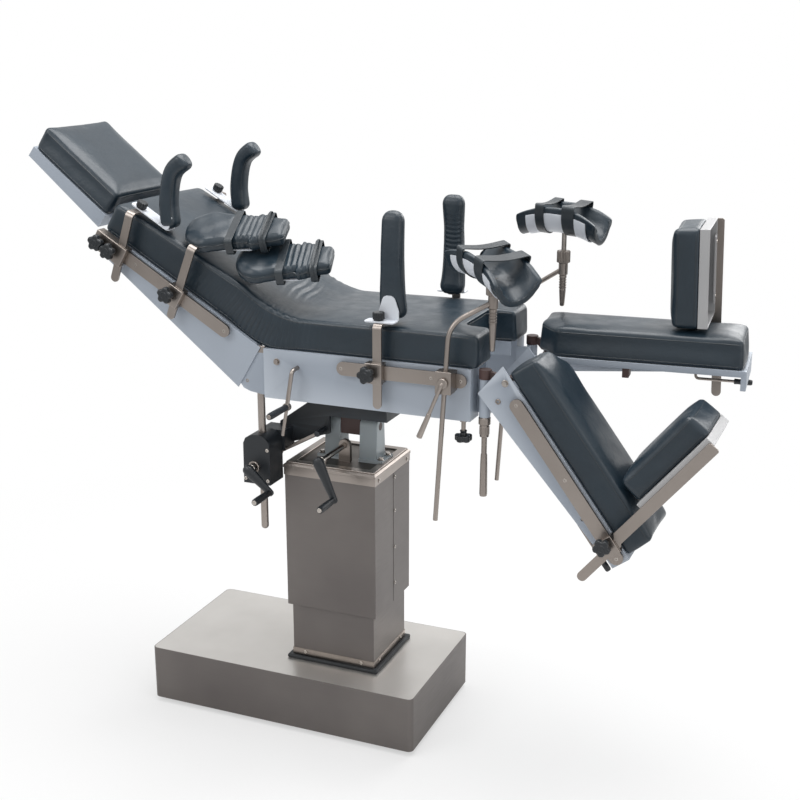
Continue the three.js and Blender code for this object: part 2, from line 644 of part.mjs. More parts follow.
// Seat frame: web, side panels, nose plates, tilt lugs and shaft, U cut-out, leg sockets
const tiltGroup = axisGroup(cradle, 'tilt_axis', tiltAxis.x, 0, tiltRise);
const seatBody = axisGroup(tiltGroup, 'seat', -tiltAxis.x, 0, tiltAxis.drop);
const seatInside = seat.halfWidth - seat.skin;
const cutFrom = seat.right - cutout.depth;

function onBothSides(build) {
  return [build(1), build(-1)];
}

const between = (a, b) => [Math.min(a, b), Math.max(a, b)];
const sidePanel = outline([[seat.left, 0], [seat.right, 0], [seat.right, -seat.depth],
  [seat.left, -seat.depth]]);
const noseShape = outline([
  [nose.joinTo, nose.topZ], [seat.left, nose.topZ], [nose.tipX, nose.crownZ], [nose.tipX, crossPin.z],
  [nose.neckX, nose.chin], [nose.lowX, nose.heel], [seat.left, nose.lowZ], [nose.joinTo, nose.lowZ],
]);
const noseOuter = seat.halfWidth - seat.skin - running;
const tiltLug = lug(tiltAxis.x, -tiltAxis.drop, arm.lugRadius, tiltAxis.lugHalf, -running);
const seatLugFrom = lugOuter + gap;
const seatLugTo = seatLugFrom + tiltAxis.lugThickness;
const backLugShape = outline([
  [back.hingeX, -back.hingeDrop - back.lugRadius],
    [back.hingeX + back.lugLength, -back.hingeDrop - back.lugRadius],
  [back.hingeX + back.lugLength, -running], [back.hingeX, -back.hingeDrop + back.lugRadius],
]);
const backHinge = { x: back.hingeX, z: -back.hingeDrop };
const seatBackLugTo = back.lugInner + back.lugThickness;
const crankHole = { x: backCrank.x, z: backCrank.z };
const knobPlace = { x: underKnob.x, y: -underKnob.y };

const seatFrameBody = joined(
  block(seat.left, seat.right, -seat.halfWidth, seat.halfWidth, -seat.skin, 0),
  block(cutFrom - seat.skin, seat.right, -cutout.halfWidth - seat.skin, cutout.halfWidth + seat.skin,
    -cutout.wallHeight, 0),
  ...onBothSides((s) => alongY(sidePanel, ...between(s * seatInside, s * seat.halfWidth))),
  ...onBothSides((s) => alongY(noseShape, ...between(s * (noseOuter - nose.thickness), s * noseOuter))),
  ...onBothSides((s) => block(nose.joinFrom, nose.joinTo,
    ...between(s * (noseOuter - nose.thickness), s * (seatInside + running)),
    nose.lowZ, nose.topZ)),
  ...onBothSides((s) => block(seat.right - seat.skin, seat.right,
    ...between(s * (seat.halfWidth - seat.endStrip), s * seat.halfWidth),
    -seat.depth, 0)),
  ...onBothSides((s) => alongY(tiltLug, ...between(s * seatLugFrom, s * seatLugTo), archSides)),
  ...onBothSides((s) => alongY(backLugShape, ...between(s * back.lugInner, s * seatBackLugTo))),
  ...onBothSides((s) => rod('y', back.lugRadius, ...between(s * back.lugInner, s * seatBackLugTo),
    backHinge)),
  ...onBothSides((s) => block(swivel.x - swivel.webHalf, swivel.x + swivel.webHalf,
    ...between(s * (seat.halfWidth - seat.endStrip), s * (swivel.y - swivel.pinRadius)), swivel.low,
      swivel.tubeTop)),
  ...onBothSides((s) => block(seat.right - seat.skin, swivel.x + swivel.webHalf,
    ...between(s * (seat.halfWidth - seat.endStrip),
      s * (seat.halfWidth - seat.endStrip + swivel.webHalf * 2)),
    swivel.low, swivel.tubeTop)),
  ...onBothSides((s) => rod('z', swivel.tubeRadius, swivel.low, swivel.tubeTop,
    { x: swivel.x, y: s * swivel.y })),
  rod('y', tiltAxis.radius, -seatLugTo, seatLugTo, { x: tiltAxis.x, z: -tiltAxis.drop }),
  rod('y', crossPin.radius, -noseOuter + running, noseOuter - running, { x: crossPin.x, z: crossPin.z }),
  rod('y', backCrank.bossRadius, -seatInside - running, -seatInside + backCrank.bossLength, crankHole),
  rod('z', underKnob.bossRadius, -seat.depth, -seat.depth + underKnob.bossHeight, knobPlace),
  block(underKnob.x - underKnob.radius, underKnob.x + underKnob.radius, -seatInside - running, -underKnob.y,
    -seat.depth, -seat.depth + underKnob.bossHeight));

piece(seatBody, 'seat_frame', cut(
  seatFrameBody,
  alongZ(roundedRectangle(cutFrom, seat.right + cutout.depth, -cutout.halfWidth, cutout.halfWidth,
    cutout.radius),
    -cutout.wallHeight - overrun, overrun),
  ...onBothSides((s) => rod('z', swivel.pinRadius + running, swivel.low - overrun, swivel.tubeTop + overrun,
    { x: swivel.x, y: s * swivel.y })),
  ...onBothSides((s) => rod('y', back.pinRadius + running,
    ...between(s * (back.lugInner - overrun), s * (seatBackLugTo + overrun)),
    backHinge)),
  rod('y', backCrank.radius + running, -seat.halfWidth - overrun,
    -seatInside + backCrank.bossLength + overrun, crankHole),
  rod('z', underKnob.radius + running, -seat.depth - overrun, -seat.depth + underKnob.bossHeight + overrun,
    knobPlace),
), greyPaint);

function sideRail(panel, from, to, centre, spacers) {
  const near = panel + rail.standoff;
  return joined(
    alongY(stadium(from, to, centre - rail.half, centre + rail.half), near, near + rail.thickness),
    ...spacers.map((x) => rod('y', rail.spacerRadius, panel + gap, near + running, { x, z: centre },
      smallSides)));
}

sides.forEach(({ name, sign }) => {
  piece(seatBody, `seat_rail_${name}`,
    sideRail(seat.halfWidth, rail.from, rail.to, rail.centre, rail.spacers), steel, sign);
});

// Seat cushion with the same U cut-out, and the part of the mattress over the fold
const cushionHalf = seat.halfWidth - cushion.sideInset;
const seatCushion = cushionGeometry(cushion.foldEnd, seat.right + cushion.overhang, -cushionHalf,
  cushionHalf,
  cushion.thickness, cushion.corner);
piece(seatBody, 'seat_cushion', cut(
  solid(seatCushion.translate(0, 0, gap)),
  alongZ(roundedRectangle(cutFrom, seat.right + cutout.depth, -cutout.halfWidth, cutout.halfWidth,
    cutout.radius),
    -overrun, cushion.thickness + overrun),
), leather);

const backTilt = back.angle * degree;

function backPoint(along, height) {
  const rise = height + back.hingeDrop;
  return new THREE.Vector3(
    back.hingeX - along * Math.cos(backTilt) + rise * Math.sin(backTilt), 0,
    -back.hingeDrop + along * Math.sin(backTilt) + rise * Math.cos(backTilt));
}

const foldShares = [0, 0.2, 0.4, 0.5, 0.6, 0.7, 0.8, 0.9, 1];
const foldStart = new THREE.Vector3(cushion.foldEnd - gap, 0, gap);
const foldEndPoint = backPoint(back.cushionFrom - gap, gap);
const foldCorner = new THREE.Vector3(back.hingeX, 0, gap);
const foldPath = new THREE.QuadraticBezierCurve3(foldStart, foldCorner, foldEndPoint);
piece(seatBody, 'mattress_fold', loft(foldShares.map((share) => {
  const foldBase = foldPath.getPoint(share);
  const tangent = foldPath.getTangent(share);
  const up = new THREE.Vector3(tangent.z, 0, -tangent.x);
  const thickness = cushion.thickness + back.cushionRise * share;
  const shape = roundedRectangle(-cushionHalf, cushionHalf, 0, thickness, cushion.corner);
  return shape.getPoints(cornerSides).slice(0, -1).map((point) => (
    foldBase.clone().addScaledVector(up, point.y).add(new THREE.Vector3(0, point.x, 0))));
})), leather);

const underKnobAxis = axisGroup(seatBody, 'leg_lock_knob_axis', underKnob.x, -underKnob.y, -seat.depth);
piece(underKnobAxis, 'leg_lock_knob', joined(
  rod('z', underKnob.radius, -underKnob.stemDrop - running, underKnob.bossHeight - running, {}),
  alongZ(starShape(), -underKnob.stemDrop - underKnob.headThickness, -underKnob.stemDrop),
), blackPlastic);

const backCrankAxis = axisGroup(seatBody, 'back_crank_axis', backCrank.x, 0, backCrank.z);
const backHub = -seat.halfWidth - backCrank.out;
const backTip = crankPoint(backCrank.armLength, backCrank.angle);
const backTail = crankPoint(backCrank.armLength + backCrank.tail, backCrank.angle);
piece(backCrankAxis, 'back_crank', joined(
  rod('y', backCrank.radius, backHub, -seat.halfWidth + backCrank.inside, {}, smallSides),
  bentRod(backCrank.radius, [
    new THREE.Vector3(0, backHub + backCrank.radius, 0), new THREE.Vector3(0, backHub, 0),
    new THREE.Vector3(backTip.x, backHub, backTip.z)]),
  strut(backCrank.tailRadius, new THREE.Vector3(backTip.x, backHub, backTip.z),
    new THREE.Vector3(backTail.x, backHub, backTail.z)),
  rod('y', backCrank.collarRadius, backHub - backCrank.collarLength / 2,
    backHub + backCrank.collarLength / 2, backTip),
  rod('y', backCrank.gripRadius, backHub - backCrank.gripLength, backHub, backTip),
), steel);

// Back section: frame, rails and cushion
const backGroup = axisGroup(seatBody, 'back_axis', back.hingeX, 0, -back.hingeDrop);
backGroup.rotation.y = backTilt;
const backBody = axisGroup(backGroup, 'back', 0, 0, back.hingeDrop);
const backDepthEnd = seat.depth - (back.length - back.from) * back.slope;
const headHinge = { x: -head.hingeAlong, z: -head.hingeDrop };
const headLugTo = head.lugInner + head.lugThickness;
const headLugShape = (from, to) => outline([
  [from, -head.hingeDrop - head.lugRadius], [to, -head.hingeDrop - head.lugRadius],
  [to, -running], [from, -head.hingeDrop + head.lugRadius],
]);

piece(backBody, 'back_frame', cut(
  joined(
    block(-back.length, -back.webFrom, -seat.halfWidth, seat.halfWidth, -seat.skin, 0),
    ...onBothSides((s) => alongY(outline([
      [-back.length, 0], [-back.from, 0], [-back.from, -seat.depth], [-back.length, -backDepthEnd],
    ]), ...between(s * seatInside, s * seat.halfWidth))),
    block(-back.length + back.endInset, -back.length + back.endInset + seat.skin, -seat.halfWidth,
      seat.halfWidth,
      -back.endWall, 0),
    ...onBothSides((s) => alongY(outline([
      [0, -back.hingeDrop - back.lugRadius], [-back.lugLength * 2, -back.hingeDrop - back.lugRadius],
      [-back.lugLength * 2, -running], [-back.webFrom, -running], [0, -back.hingeDrop + back.lugRadius],
    ]), ...between(s * (seatBackLugTo + gap), s * (seatBackLugTo + back.lugThickness)))),
    ...onBothSides((s) => rod('y', back.lugRadius,
      ...between(s * (seatBackLugTo + gap), s * (seatBackLugTo + back.lugThickness)),
        { z: -back.hingeDrop })),
    rod('y', back.pinRadius, -seatBackLugTo - back.lugThickness + gap,
      seatBackLugTo + back.lugThickness - gap,
      { z: -back.hingeDrop }),
    ...onBothSides((s) => alongY(headLugShape(-head.hingeAlong, -back.length + head.lugLength),
      ...between(s * (headLugTo + gap), s * (headLugTo + head.lugThickness)))),
    ...onBothSides((s) => rod('y', head.lugRadius,
      ...between(s * (headLugTo + gap), s * (headLugTo + head.lugThickness)),
      headHinge))),
  ...onBothSides((s) => rod('y', head.pinRadius + running,
    ...between(s * (headLugTo - overrun), s * (headLugTo + head.lugThickness + overrun)), headHinge)),
), greyPaint);

sides.forEach(({ name, sign }) => {
  piece(backBody, `back_rail_${name}`,
    sideRail(seat.halfWidth, -back.railTo, -back.railFrom, back.railCentre,
    back.spacers.map((along) => -along)), steel, sign);
});

// The back cushion is thicker at the fold, where the bent mattress is pushed up
const backCushion = cushionGeometry(-back.cushionTo, -back.cushionFrom, -cushionHalf, cushionHalf,
  cushion.thickness, cushion.corner);
const backPoints = backCushion.attributes.position;
for (let i = 0; i < backPoints.count; i += 1) {
  const share = (backPoints.getX(i) + back.cushionTo) / (back.cushionTo - back.cushionFrom);
  backPoints.setZ(i, gap + backPoints.getZ(i) * (1 + (back.cushionRise / cushion.thickness) * share));
}
piece(backBody, 'back_cushion', backCushion, leather);

// Head section
const headGroup = axisGroup(backBody, 'head_axis', -head.hingeAlong, 0, -head.hingeDrop);
headGroup.rotation.y = head.angle * degree;
const headBody = axisGroup(headGroup, 'head', 0, 0, head.rise);
const headInside = head.halfWidth - seat.skin;
piece(headBody, 'head_frame', joined(
  block(-head.to, -head.from, -head.halfWidth, head.halfWidth, head.top - seat.skin, head.top),
  ...onBothSides((s) => alongY(outline([
    [-head.to, head.top], [-head.from, head.top], [-head.from, head.top - head.depthNear],
      [-head.to, head.top - head.depthFar],
  ]), ...between(s * headInside, s * head.halfWidth))),
  block(-head.to, -head.to + seat.skin, -head.halfWidth, head.halfWidth, head.top - head.depthFar, head.top),
  block(-head.from - seat.skin, -head.from, -head.halfWidth, head.halfWidth, head.top - head.depthNear,
    head.top),
  ...onBothSides((s) => block(-head.from - running, 0, ...between(s * head.lugInner, s * headLugTo),
    -head.rise - head.lugRadius, -head.rise + head.lugRadius)),
  ...onBothSides((s) => rod('y', head.lugRadius, ...between(s * head.lugInner, s * headLugTo),
    { z: -head.rise })),
  rod('y', head.pinRadius, -headLugTo - head.lugThickness, headLugTo + head.lugThickness, { z: -head.rise }),
), greyPaint);

const headCushion = cushionGeometry(-head.cushionTo, -head.cushionFrom, -head.halfWidth, head.halfWidth,
  head.cushionThickness, cushion.corner);
const headPoints = headCushion.attributes.position;
for (let i = 0; i < headPoints.count; i += 1) {
  const mitreShare = headPoints.getX(i) < -head.to + head.from ? head.mitre : 0;
  headPoints.setX(i, headPoints.getX(i) - headPoints.getZ(i) * mitreShare);
}
piece(headBody, 'head_cushion', headCushion.translate(0, 0, head.top + gap), leather);

// Legs: swivel, lock handle, frame with its rail, cushion, foot plate and release lever
const legHalf = leg.width / 2;
const legInside = legHalf - leg.skin;
const legShift = leg.centre - swivel.y;
const legReach = leg.pivotX - swivel.x;
const pivotZ = -leg.pivotDrop;
const armLow = pivotZ - swivel.armHalf;
const armHigh = pivotZ + swivel.armHalf;

const swivelBody = joined(
  rod('z', swivel.pinRadius, swivel.low - running, swivel.high, {}),
  rod('z', swivel.crownRadius, swivel.tubeTop + running, swivel.tubeTop + swivel.crownHeight, {}),
  alongY(outline([
    [0, swivel.tubeTop + swivel.crownHeight], [legReach, armHigh], [legReach, armLow],
    [swivel.crownRadius + swivel.armHalf, armLow], [swivel.crownRadius, swivel.tubeTop + running],
      [0, swivel.tubeTop + running],
  ]), -swivel.armThickness / 2, swivel.armThickness / 2),
  rod('y', swivel.armHalf, -swivel.armThickness / 2, swivel.armThickness / 2, { x: legReach, z: pivotZ }),
  rod('y', leg.pinRadius, legShift + leg.pinLow, legShift + legHalf, { x: legReach, z: pivotZ }));

const lockTop = swivel.low - running - gap;
const lockNeck = lockTop - lock.collarHeight;
const lockStem = lockNeck - lock.neckHeight;
const lockGrip = lockStem - lock.stemHeight;
const lockBody = joined(
  rod('z', lock.collarRadius, lockNeck, lockTop, {}),
  rod('z', lock.neckRadius, lockStem - running, lockNeck + running, {}),
  rod('z', lock.stemRadius, lockGrip - running, lockStem, {}),
  coneAlong('z', lock.gripEnd, lock.gripTop, lockGrip - lock.gripHeight, lockGrip, {}));

const cheekLow = leg.cheekInner;
const cheekHigh = leg.cheekInner + leg.cheekThickness;
const pivotBoss = swivel.armHalf + running * 2;
const legFrameBody = cut(
  joined(
    block(leg.webFrom, leg.to, -legHalf, legHalf, leg.top - leg.skin, leg.top),
    ...onBothSides((s) => alongY(outline([
      [leg.from, leg.top], [leg.to, leg.top], [leg.to, leg.top - leg.endDepth],
        [leg.stepX, leg.top - leg.endDepth],
      [leg.stepX, leg.top - leg.stepDepth], [leg.lowX, leg.lowZ],
    ]), ...between(s * legInside, s * legHalf))),
    block(leg.to - leg.skin, leg.to, -legHalf, legHalf, leg.top - leg.endDepth, leg.top),
    alongY(outline([
      [0, -pivotBoss], [leg.webFrom * 2, -pivotBoss], [leg.webFrom * 2, leg.top - running],
      [leg.webFrom, leg.top - running], [0, pivotBoss],
    ]), cheekLow, cheekHigh),
    rod('y', pivotBoss, cheekLow, cheekHigh, {}),
    rod('y', pivotBoss, legInside - leg.bossLength, legInside + running, {}),
    rod('y', release.bossRadius, legInside - release.bossLength, legInside + running,
      { x: release.x, z: release.z }, smallSides),
    sideRail(legHalf, leg.railFrom, leg.railTo, leg.railCentre, leg.spacers),
    ...leg.spacers.map((x) => rod('y', rail.spacerRadius, legHalf - running, legHalf + rail.standoff,
      { x, z: leg.railCentre }, smallSides))),
  rod('y', leg.pinRadius + running, cheekLow - overrun, legHalf + overrun, {}),
  rod('y', release.radius + running, legInside - release.bossLength - overrun, legHalf + overrun,
    { x: release.x, z: release.z }));

const legCushionHalf = legHalf - cushion.sideInset;
const legCushionBody = cut(
  solid(cushionGeometry(leg.cushionFrom, leg.cushionTo, -legCushionHalf, legCushionHalf,
    leg.cushionThickness, cushion.corner)
    .translate(0, 0, leg.top + gap)),
  alongZ(outline([
    [leg.cushionFrom - overrun, -legCushionHalf - overrun],
      [leg.cushionFrom + leg.chamferLength, -legCushionHalf - overrun],
    [leg.cushionFrom - overrun, -legCushionHalf + leg.chamferDepth],
  ]), leg.top - overrun, leg.top + leg.cushionThickness + overrun));

const releaseY = legInside - release.inset;
const releaseBody = joined(
  rod('y', release.radius, releaseY, legInside + running, {}, smallSides),
  bentRod(release.radius, [
    new THREE.Vector3(0, releaseY, 0), new THREE.Vector3(release.radius, releaseY, -release.drop),
    new THREE.Vector3(release.run, releaseY, -release.drop)]),
  rod('x', release.gripRadius, release.run, release.run + release.gripLength,
    { y: releaseY, z: -release.drop }, smallSides));

// A clamp that hooks over a side rail, its middle on the bar that it holds
function railClamp(panel, toward, away, knobPlaces) {
  const lipInner = panel + clamp.lipGap;
  const lipOuter = panel + rail.standoff - gap;
  const front = panel + rail.standoff + rail.thickness + gap;
  const face = front + clamp.depth;
  const jawFrom = rail.half + gap;
  const jawTo = jawFrom + clamp.jaw;
  return joined(
    block(-away, toward, front, face, -jawTo, jawTo),
    ...onBothSides((s) => block(-away, toward, lipInner, face, ...between(s * jawFrom, s * jawTo))),
    ...onBothSides((s) => block(-away, toward, lipInner, lipOuter,
      ...between(s * clamp.lipFrom, s * jawTo))),
    ...knobPlaces.map((place) => starKnob(-place, face, 0)));
}

function barPlace(panel) {
  const front = panel + rail.standoff + rail.thickness + gap;
  const from = front + (clamp.depth - bar.thickness) / 2;
  return [from, from + bar.thickness];
}

const barHalf = bar.width / 2;
const [footBarFrom, footBarTo] = barPlace(legHalf);
const panBack = -foot.width / 2 + foot.panSkin;
const panFront = panBack - foot.panDepth;

function footBarBody(lean, panFrom, panTo) {
  const upright = joined(
    block(-foot.width / 2, foot.width / 2, footBarFrom, footBarTo, -foot.below, foot.above),
    block(-foot.width / 2, panBack, foot.panOuter - foot.panSkin, footBarTo, foot.strapFrom, foot.strapTo),
    cut(
      block(panFront, panBack, foot.panInner, foot.panOuter, panFrom, panTo),
      block(panFront + foot.panSkin, panBack + overrun, foot.panInner + foot.panSkin,
        foot.panOuter - foot.panSkin,
        panFrom + foot.panSkin, panTo - foot.panSkin)));
  return railClamp(legHalf, clamp.toward, clamp.away, [knob.offset]).add(leaned(upright, -lean));
}

function footCushionGeometry(lean, panFrom, panTo) {
  const margin = foot.cushionMargin;
  const pad = cushionGeometry(panFrom - margin, panTo + margin, foot.panInner - margin,
    foot.panOuter + margin,
    foot.cushionThickness, cushion.corner);
  return pad.rotateY(-Math.PI / 2).translate(panFront - gap, 0, 0).rotateY(-lean * degree);
}

sides.forEach(({ name, sign }) => {
  const flex = sign < 0 ? leg.nearFlex : leg.farFlex;
  const swing = sign < 0 ? leg.nearSwing : leg.farSwing;
  const plate = sign < 0
    ? [foot.nearLean, foot.nearFrom, foot.nearTo]
    : [foot.farLean, foot.farFrom, foot.farTo];
  const swingGroup = axisGroup(seatBody, `leg_swing_axis_${name}`, swivel.x, sign * swivel.y, 0);
  swingGroup.rotation.z = sign * swing * degree;
  piece(swingGroup, `leg_swivel_${name}`, swivelBody, brownCasting, sign);
  piece(swingGroup, `leg_lock_handle_${name}`, lockBody, steel, sign);
  const flexGroup = axisGroup(swingGroup, `leg_flex_axis_${name}`, legReach, sign * legShift, pivotZ);
  flexGroup.rotation.y = flex * degree;
  piece(flexGroup, `leg_frame_${name}`, legFrameBody, greyPaint, sign);
  piece(flexGroup, `leg_cushion_${name}`, legCushionBody, leather, sign);
  const releaseAxis = axisGroup(flexGroup, `leg_release_axis_${name}`, release.x, 0, release.z);
  piece(releaseAxis, `leg_release_lever_${name}`, releaseBody, steel, sign);
  const footSlide = axisGroup(flexGroup, `foot_slide_axis_${name}`,
    sign < 0 ? foot.nearAlong : foot.farAlong, 0, leg.railCentre);
  piece(footSlide, `foot_bar_${name}`, footBarBody(...plate), steel, sign);
  piece(footSlide, `foot_cushion_${name}`, footCushionGeometry(...plate), leather, sign);
});

// Side supports on the seat rails
const [barFrom, barTo] = barPlace(seat.halfWidth);
const accessoryClamp = railClamp(seat.halfWidth, clamp.toward, clamp.away, [knob.offset]);

function bentBar(below, above, endY, lean) {
  const upright = joined(
    block(-barHalf, barHalf, barFrom, barTo, -below, above),
    block(-barHalf, barHalf, endY, barTo, above - bar.thickness, above));
  return lean ? leaned(upright, -lean) : upright;
}

const sideTurnY = sideBar.endY + sideBar.plateDepth / 2;
const sideUpright = -sideBar.plateDepth / 2;
const sidePadY = sideUpright - sideBar.padThickness / 2;
const sidePadHeights = [0, 0.2, 0.55, 1];
const sidePadBows = [1, 0.25, 0, 0.5];
const sidePad = padGeometry(sidePadHeights.map((share, i) => new THREE.Vector3(
  sideBar.padShift, sidePadY - sidePadBows[i] * sideBar.padBow, sideBar.padRise + share * sideBar.padHeight,
)), alongAxis.x, sideBar.padWidth, sideBar.padThickness);
const sidePadBody = joined(
  solid(sidePad),
  block(-sideBar.plateLength * (2 / 3), sideBar.plateLength / 3, sideUpright, sideBar.plateDepth / 2,
    gap, sideBar.plateThickness),
  block(-barHalf, sideBar.plateLength / 3, sideUpright - running, sideUpright + sideBar.plateThickness,
    gap, sideBar.uprightHeight),
  block(sideBar.padShift - barHalf, sideBar.padShift + barHalf, sidePadY,
    sideUpright + sideBar.plateThickness,
    sideBar.uprightHeight / 2, sideBar.uprightHeight));

sides.forEach(({ name, sign }) => {
  const slide = axisGroup(seatBody, `side_support_slide_${name}`, sign < 0 ? sideBar.nearX : sideBar.farX, 0,
    rail.centre);
  piece(slide, `side_support_bar_${name}`,
    accessoryClamp.add(bentBar(sideBar.below, sideBar.above, sideBar.endY, 0)), steel, sign);
  const turn = axisGroup(slide, `side_support_turn_${name}`, 0, sign * sideTurnY, sideBar.above);
  piece(turn, `side_support_pad_${name}`, sidePadBody, leather, sign);
});

// Shoulder supports at the head end of the back rails
const shoulderTop = {
  x: -Math.sin(shoulder.lean * degree) * shoulder.above,
  z: Math.cos(shoulder.lean * degree) * shoulder.above + Math.sin(shoulder.lean * degree) * barHalf,
};
const shoulderClamp = railClamp(seat.halfWidth, clamp.toward, shoulder.away,
  [shoulder.firstKnob, shoulder.secondKnob]);
const shoulderTurnY = shoulder.endY + barHalf;
const shoulderPad = padGeometry(shoulder.padPath.map(([x, z]) => new THREE.Vector3(x, -shoulder.padY, z)),
  alongAxis.y, shoulder.padWidth, shoulder.padThickness);
const shoulderPadBody = joined(
  solid(shoulderPad),
  block(-shoulder.plateTail, shoulder.plateLength, -shoulder.plateDepth + barHalf, barHalf, gap,
    shoulder.plateThickness),
  block(shoulder.padPath[0][0] - barHalf, shoulder.padPath[0][0] + barHalf, -shoulder.padY - barHalf,
    -shoulder.padY + barHalf,
    gap, shoulder.padPath[0][1] + shoulder.plateRise));

sides.forEach(({ name, sign }) => {
  const slide = axisGroup(backBody, `shoulder_slide_${name}`,
    sign < 0 ? -shoulder.nearAlong : -shoulder.farAlong, 0, back.railCentre);
  piece(slide, `shoulder_support_bar_${name}`,
    shoulderClamp.add(bentBar(shoulder.below, shoulder.above, shoulder.endY, shoulder.lean)), steel, sign);
  const turn = axisGroup(slide, `shoulder_turn_${name}`, shoulderTop.x, sign * shoulderTurnY, shoulderTop.z);
  piece(turn, `shoulder_support_pad_${name}`, shoulderPadBody, leather, sign);
});

// Arm supports on the back rails, their padded boards level at rest
const boardForm = { crown: armBoard.crown, roll: armBoard.crown, drawIn: 0 };

function armBoardBody(unit) {
  const pad = cushionGeometry(-armBoard.padLength / 2, armBoard.padLength / 2, -armBoard.padWidth / 2,
    armBoard.padWidth / 2,
    armBoard.padThickness, armBoard.corner, boardForm);
  const stemTop = new THREE.Vector3(unit.stemX, unit.stemY, unit.stemZ);
  return joined(
    solid(placed(pad, unit)),
    rod('z', armBoard.stemRadius, gap, armBoard.discHeight, {}),
    strut(armBoard.stemRadius, new THREE.Vector3(0, 0, armBoard.stemRadius), stemTop));
}

const armTops = { near: armBoard.above, far: armBoard.farAbove };
sides.forEach(({ name, sign }) => {
  const above = armTops[name];
  const endY = sign < 0 ? armBoard.nearEnd : armBoard.farEnd;
  const slide = axisGroup(backBody, `arm_board_slide_${name}`,
    sign < 0 ? -armBoard.nearAlong : -armBoard.farAlong, 0, back.railCentre);
  piece(slide, `arm_board_bar_${name}`,
    accessoryClamp.add(bentBar(armBoard.below, above, endY, armBoard.lean)), steel, sign);
  const lean = armBoard.lean * degree;
  const turnRise = armBoard.stemRadius * Math.tan(backTilt - lean) + gap;
  const turn = axisGroup(slide, `arm_board_turn_${name}`, -Math.sin(lean) * above,
    sign * (endY + barHalf), Math.cos(lean) * above + turnRise);
  turn.rotation.y = -backTilt;
  piece(turn, `arm_board_pad_${name}`, armBoardBody(armBoard[name]), leather, sign);
});

// Leg holders: heavy rail clamp with its lever, bent rod with a sleeve, trough on a stem
function holderRodBody(form) {
  const front = seat.halfWidth + rail.standoff + rail.thickness + gap;
  const face = front + holder.clampDepth;
  const slope = Math.tan(holder.lean * degree);
  const low = new THREE.Vector3(-form.below * slope, holder.rodY, -form.below);
  const knee = new THREE.Vector3(form.above * slope, holder.rodY, form.above);
  const sleeve = new THREE.Vector3(knee.x + form.reachX, holder.rodY - form.reachY, knee.z + form.reachZ);
  const lever = new THREE.Vector3(-holder.leverRun, face, -holder.leverDrop);
  const body = joined(
    railClamp(seat.halfWidth, holder.clampHalf, holder.clampHalf, []),
    block(-holder.clampHalf, holder.clampHalf, front, face, -holder.clampHalfHeight, holder.clampHalfHeight),
    bentRod(holder.radius, [low, knee, sleeve]),
    rod('z', holder.sleeveRadius, sleeve.z - holder.sleeveHalf, sleeve.z + holder.sleeveHalf, sleeve),
    bentRod(holder.leverRadius, [new THREE.Vector3(0, face - holder.leverRadius, 0),
      new THREE.Vector3(0, face + holder.leverRadius, 0),
      lever.add(new THREE.Vector3(0, holder.leverRadius, 0))]));
  return {
    sleeve,
    body: body.subtract(rod('z', holder.stemRadius + running, sleeve.z - holder.sleeveHalf - overrun,
      sleeve.z + holder.sleeveHalf + overrun, sleeve)),
  };
}

function troughBody(form) {
  const arc = trough.arc * degree;
  const outerRadius = trough.inner + trough.wall;
  const shape = new THREE.Shape();
  const lowAngle = -Math.PI / 2;
  shape.absarc(0, 0, outerRadius, lowAngle - arc, lowAngle + arc, false);
  shape.absarc(0, 0, trough.inner, lowAngle + arc, lowAngle - arc, true);
  const shell = geometryOf(alongX(shape, -trough.length / 2, trough.length / 2, padSides));
  const collarLow = holder.sleeveHalf + gap;
  const collarHigh = collarLow + holder.collarHeight;
  const linkTop = collarHigh + form.linkHeight;
  const gripHigh = -holder.sleeveHalf - gap;
  return joined(
    solid(placed(shell, { rise: form.tilt, yaw: form.turn, z: linkTop + trough.inner })),
    rod('z', holder.stemRadius, gripHigh - running, linkTop - trough.wall / 2, {}),
    rod('z', holder.collarRadius, collarLow, collarHigh, {}),
    coneAlong('z', holder.gripEnd, holder.gripTop, gripHigh - form.gripLength, gripHigh, {}));
}

sides.forEach(({ name, sign }) => {
  const form = holder[name];
  const { body, sleeve } = holderRodBody(form);
  const slide = axisGroup(seatBody, `leg_holder_slide_${name}`, form.x, 0, rail.centre);
  piece(slide, `leg_holder_rod_${name}`, body, steel, sign);
  const turn = axisGroup(slide, `leg_holder_turn_${name}`, sleeve.x, sign * sleeve.y, sleeve.z);
  piece(turn, `leg_holder_trough_${name}`, troughBody(form), blackPlastic, sign);
});

// The part's origin: the middle of the footprint at the floor
const whole = new THREE.Group();
whole.add(table);
whole.updateMatrixWorld(true);
const limits = new THREE.Box3().setFromObject(table, true);
table.position.set(-(limits.min.x + limits.max.x) / 2, -(limits.min.y + limits.max.y) / 2, -limits.min.z);

export default whole;
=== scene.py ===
import logging
import math
from contextlib import contextmanager
from dataclasses import dataclass, field
from enum import Enum
from typing import Callable, Iterator, Sequence

import bmesh
import bpy
import numpy as np
from bpy.types import ID, Material, Node, NodeSocket, Object
from mathutils import Matrix, Vector
from mathutils.bvhtree import BVHTree


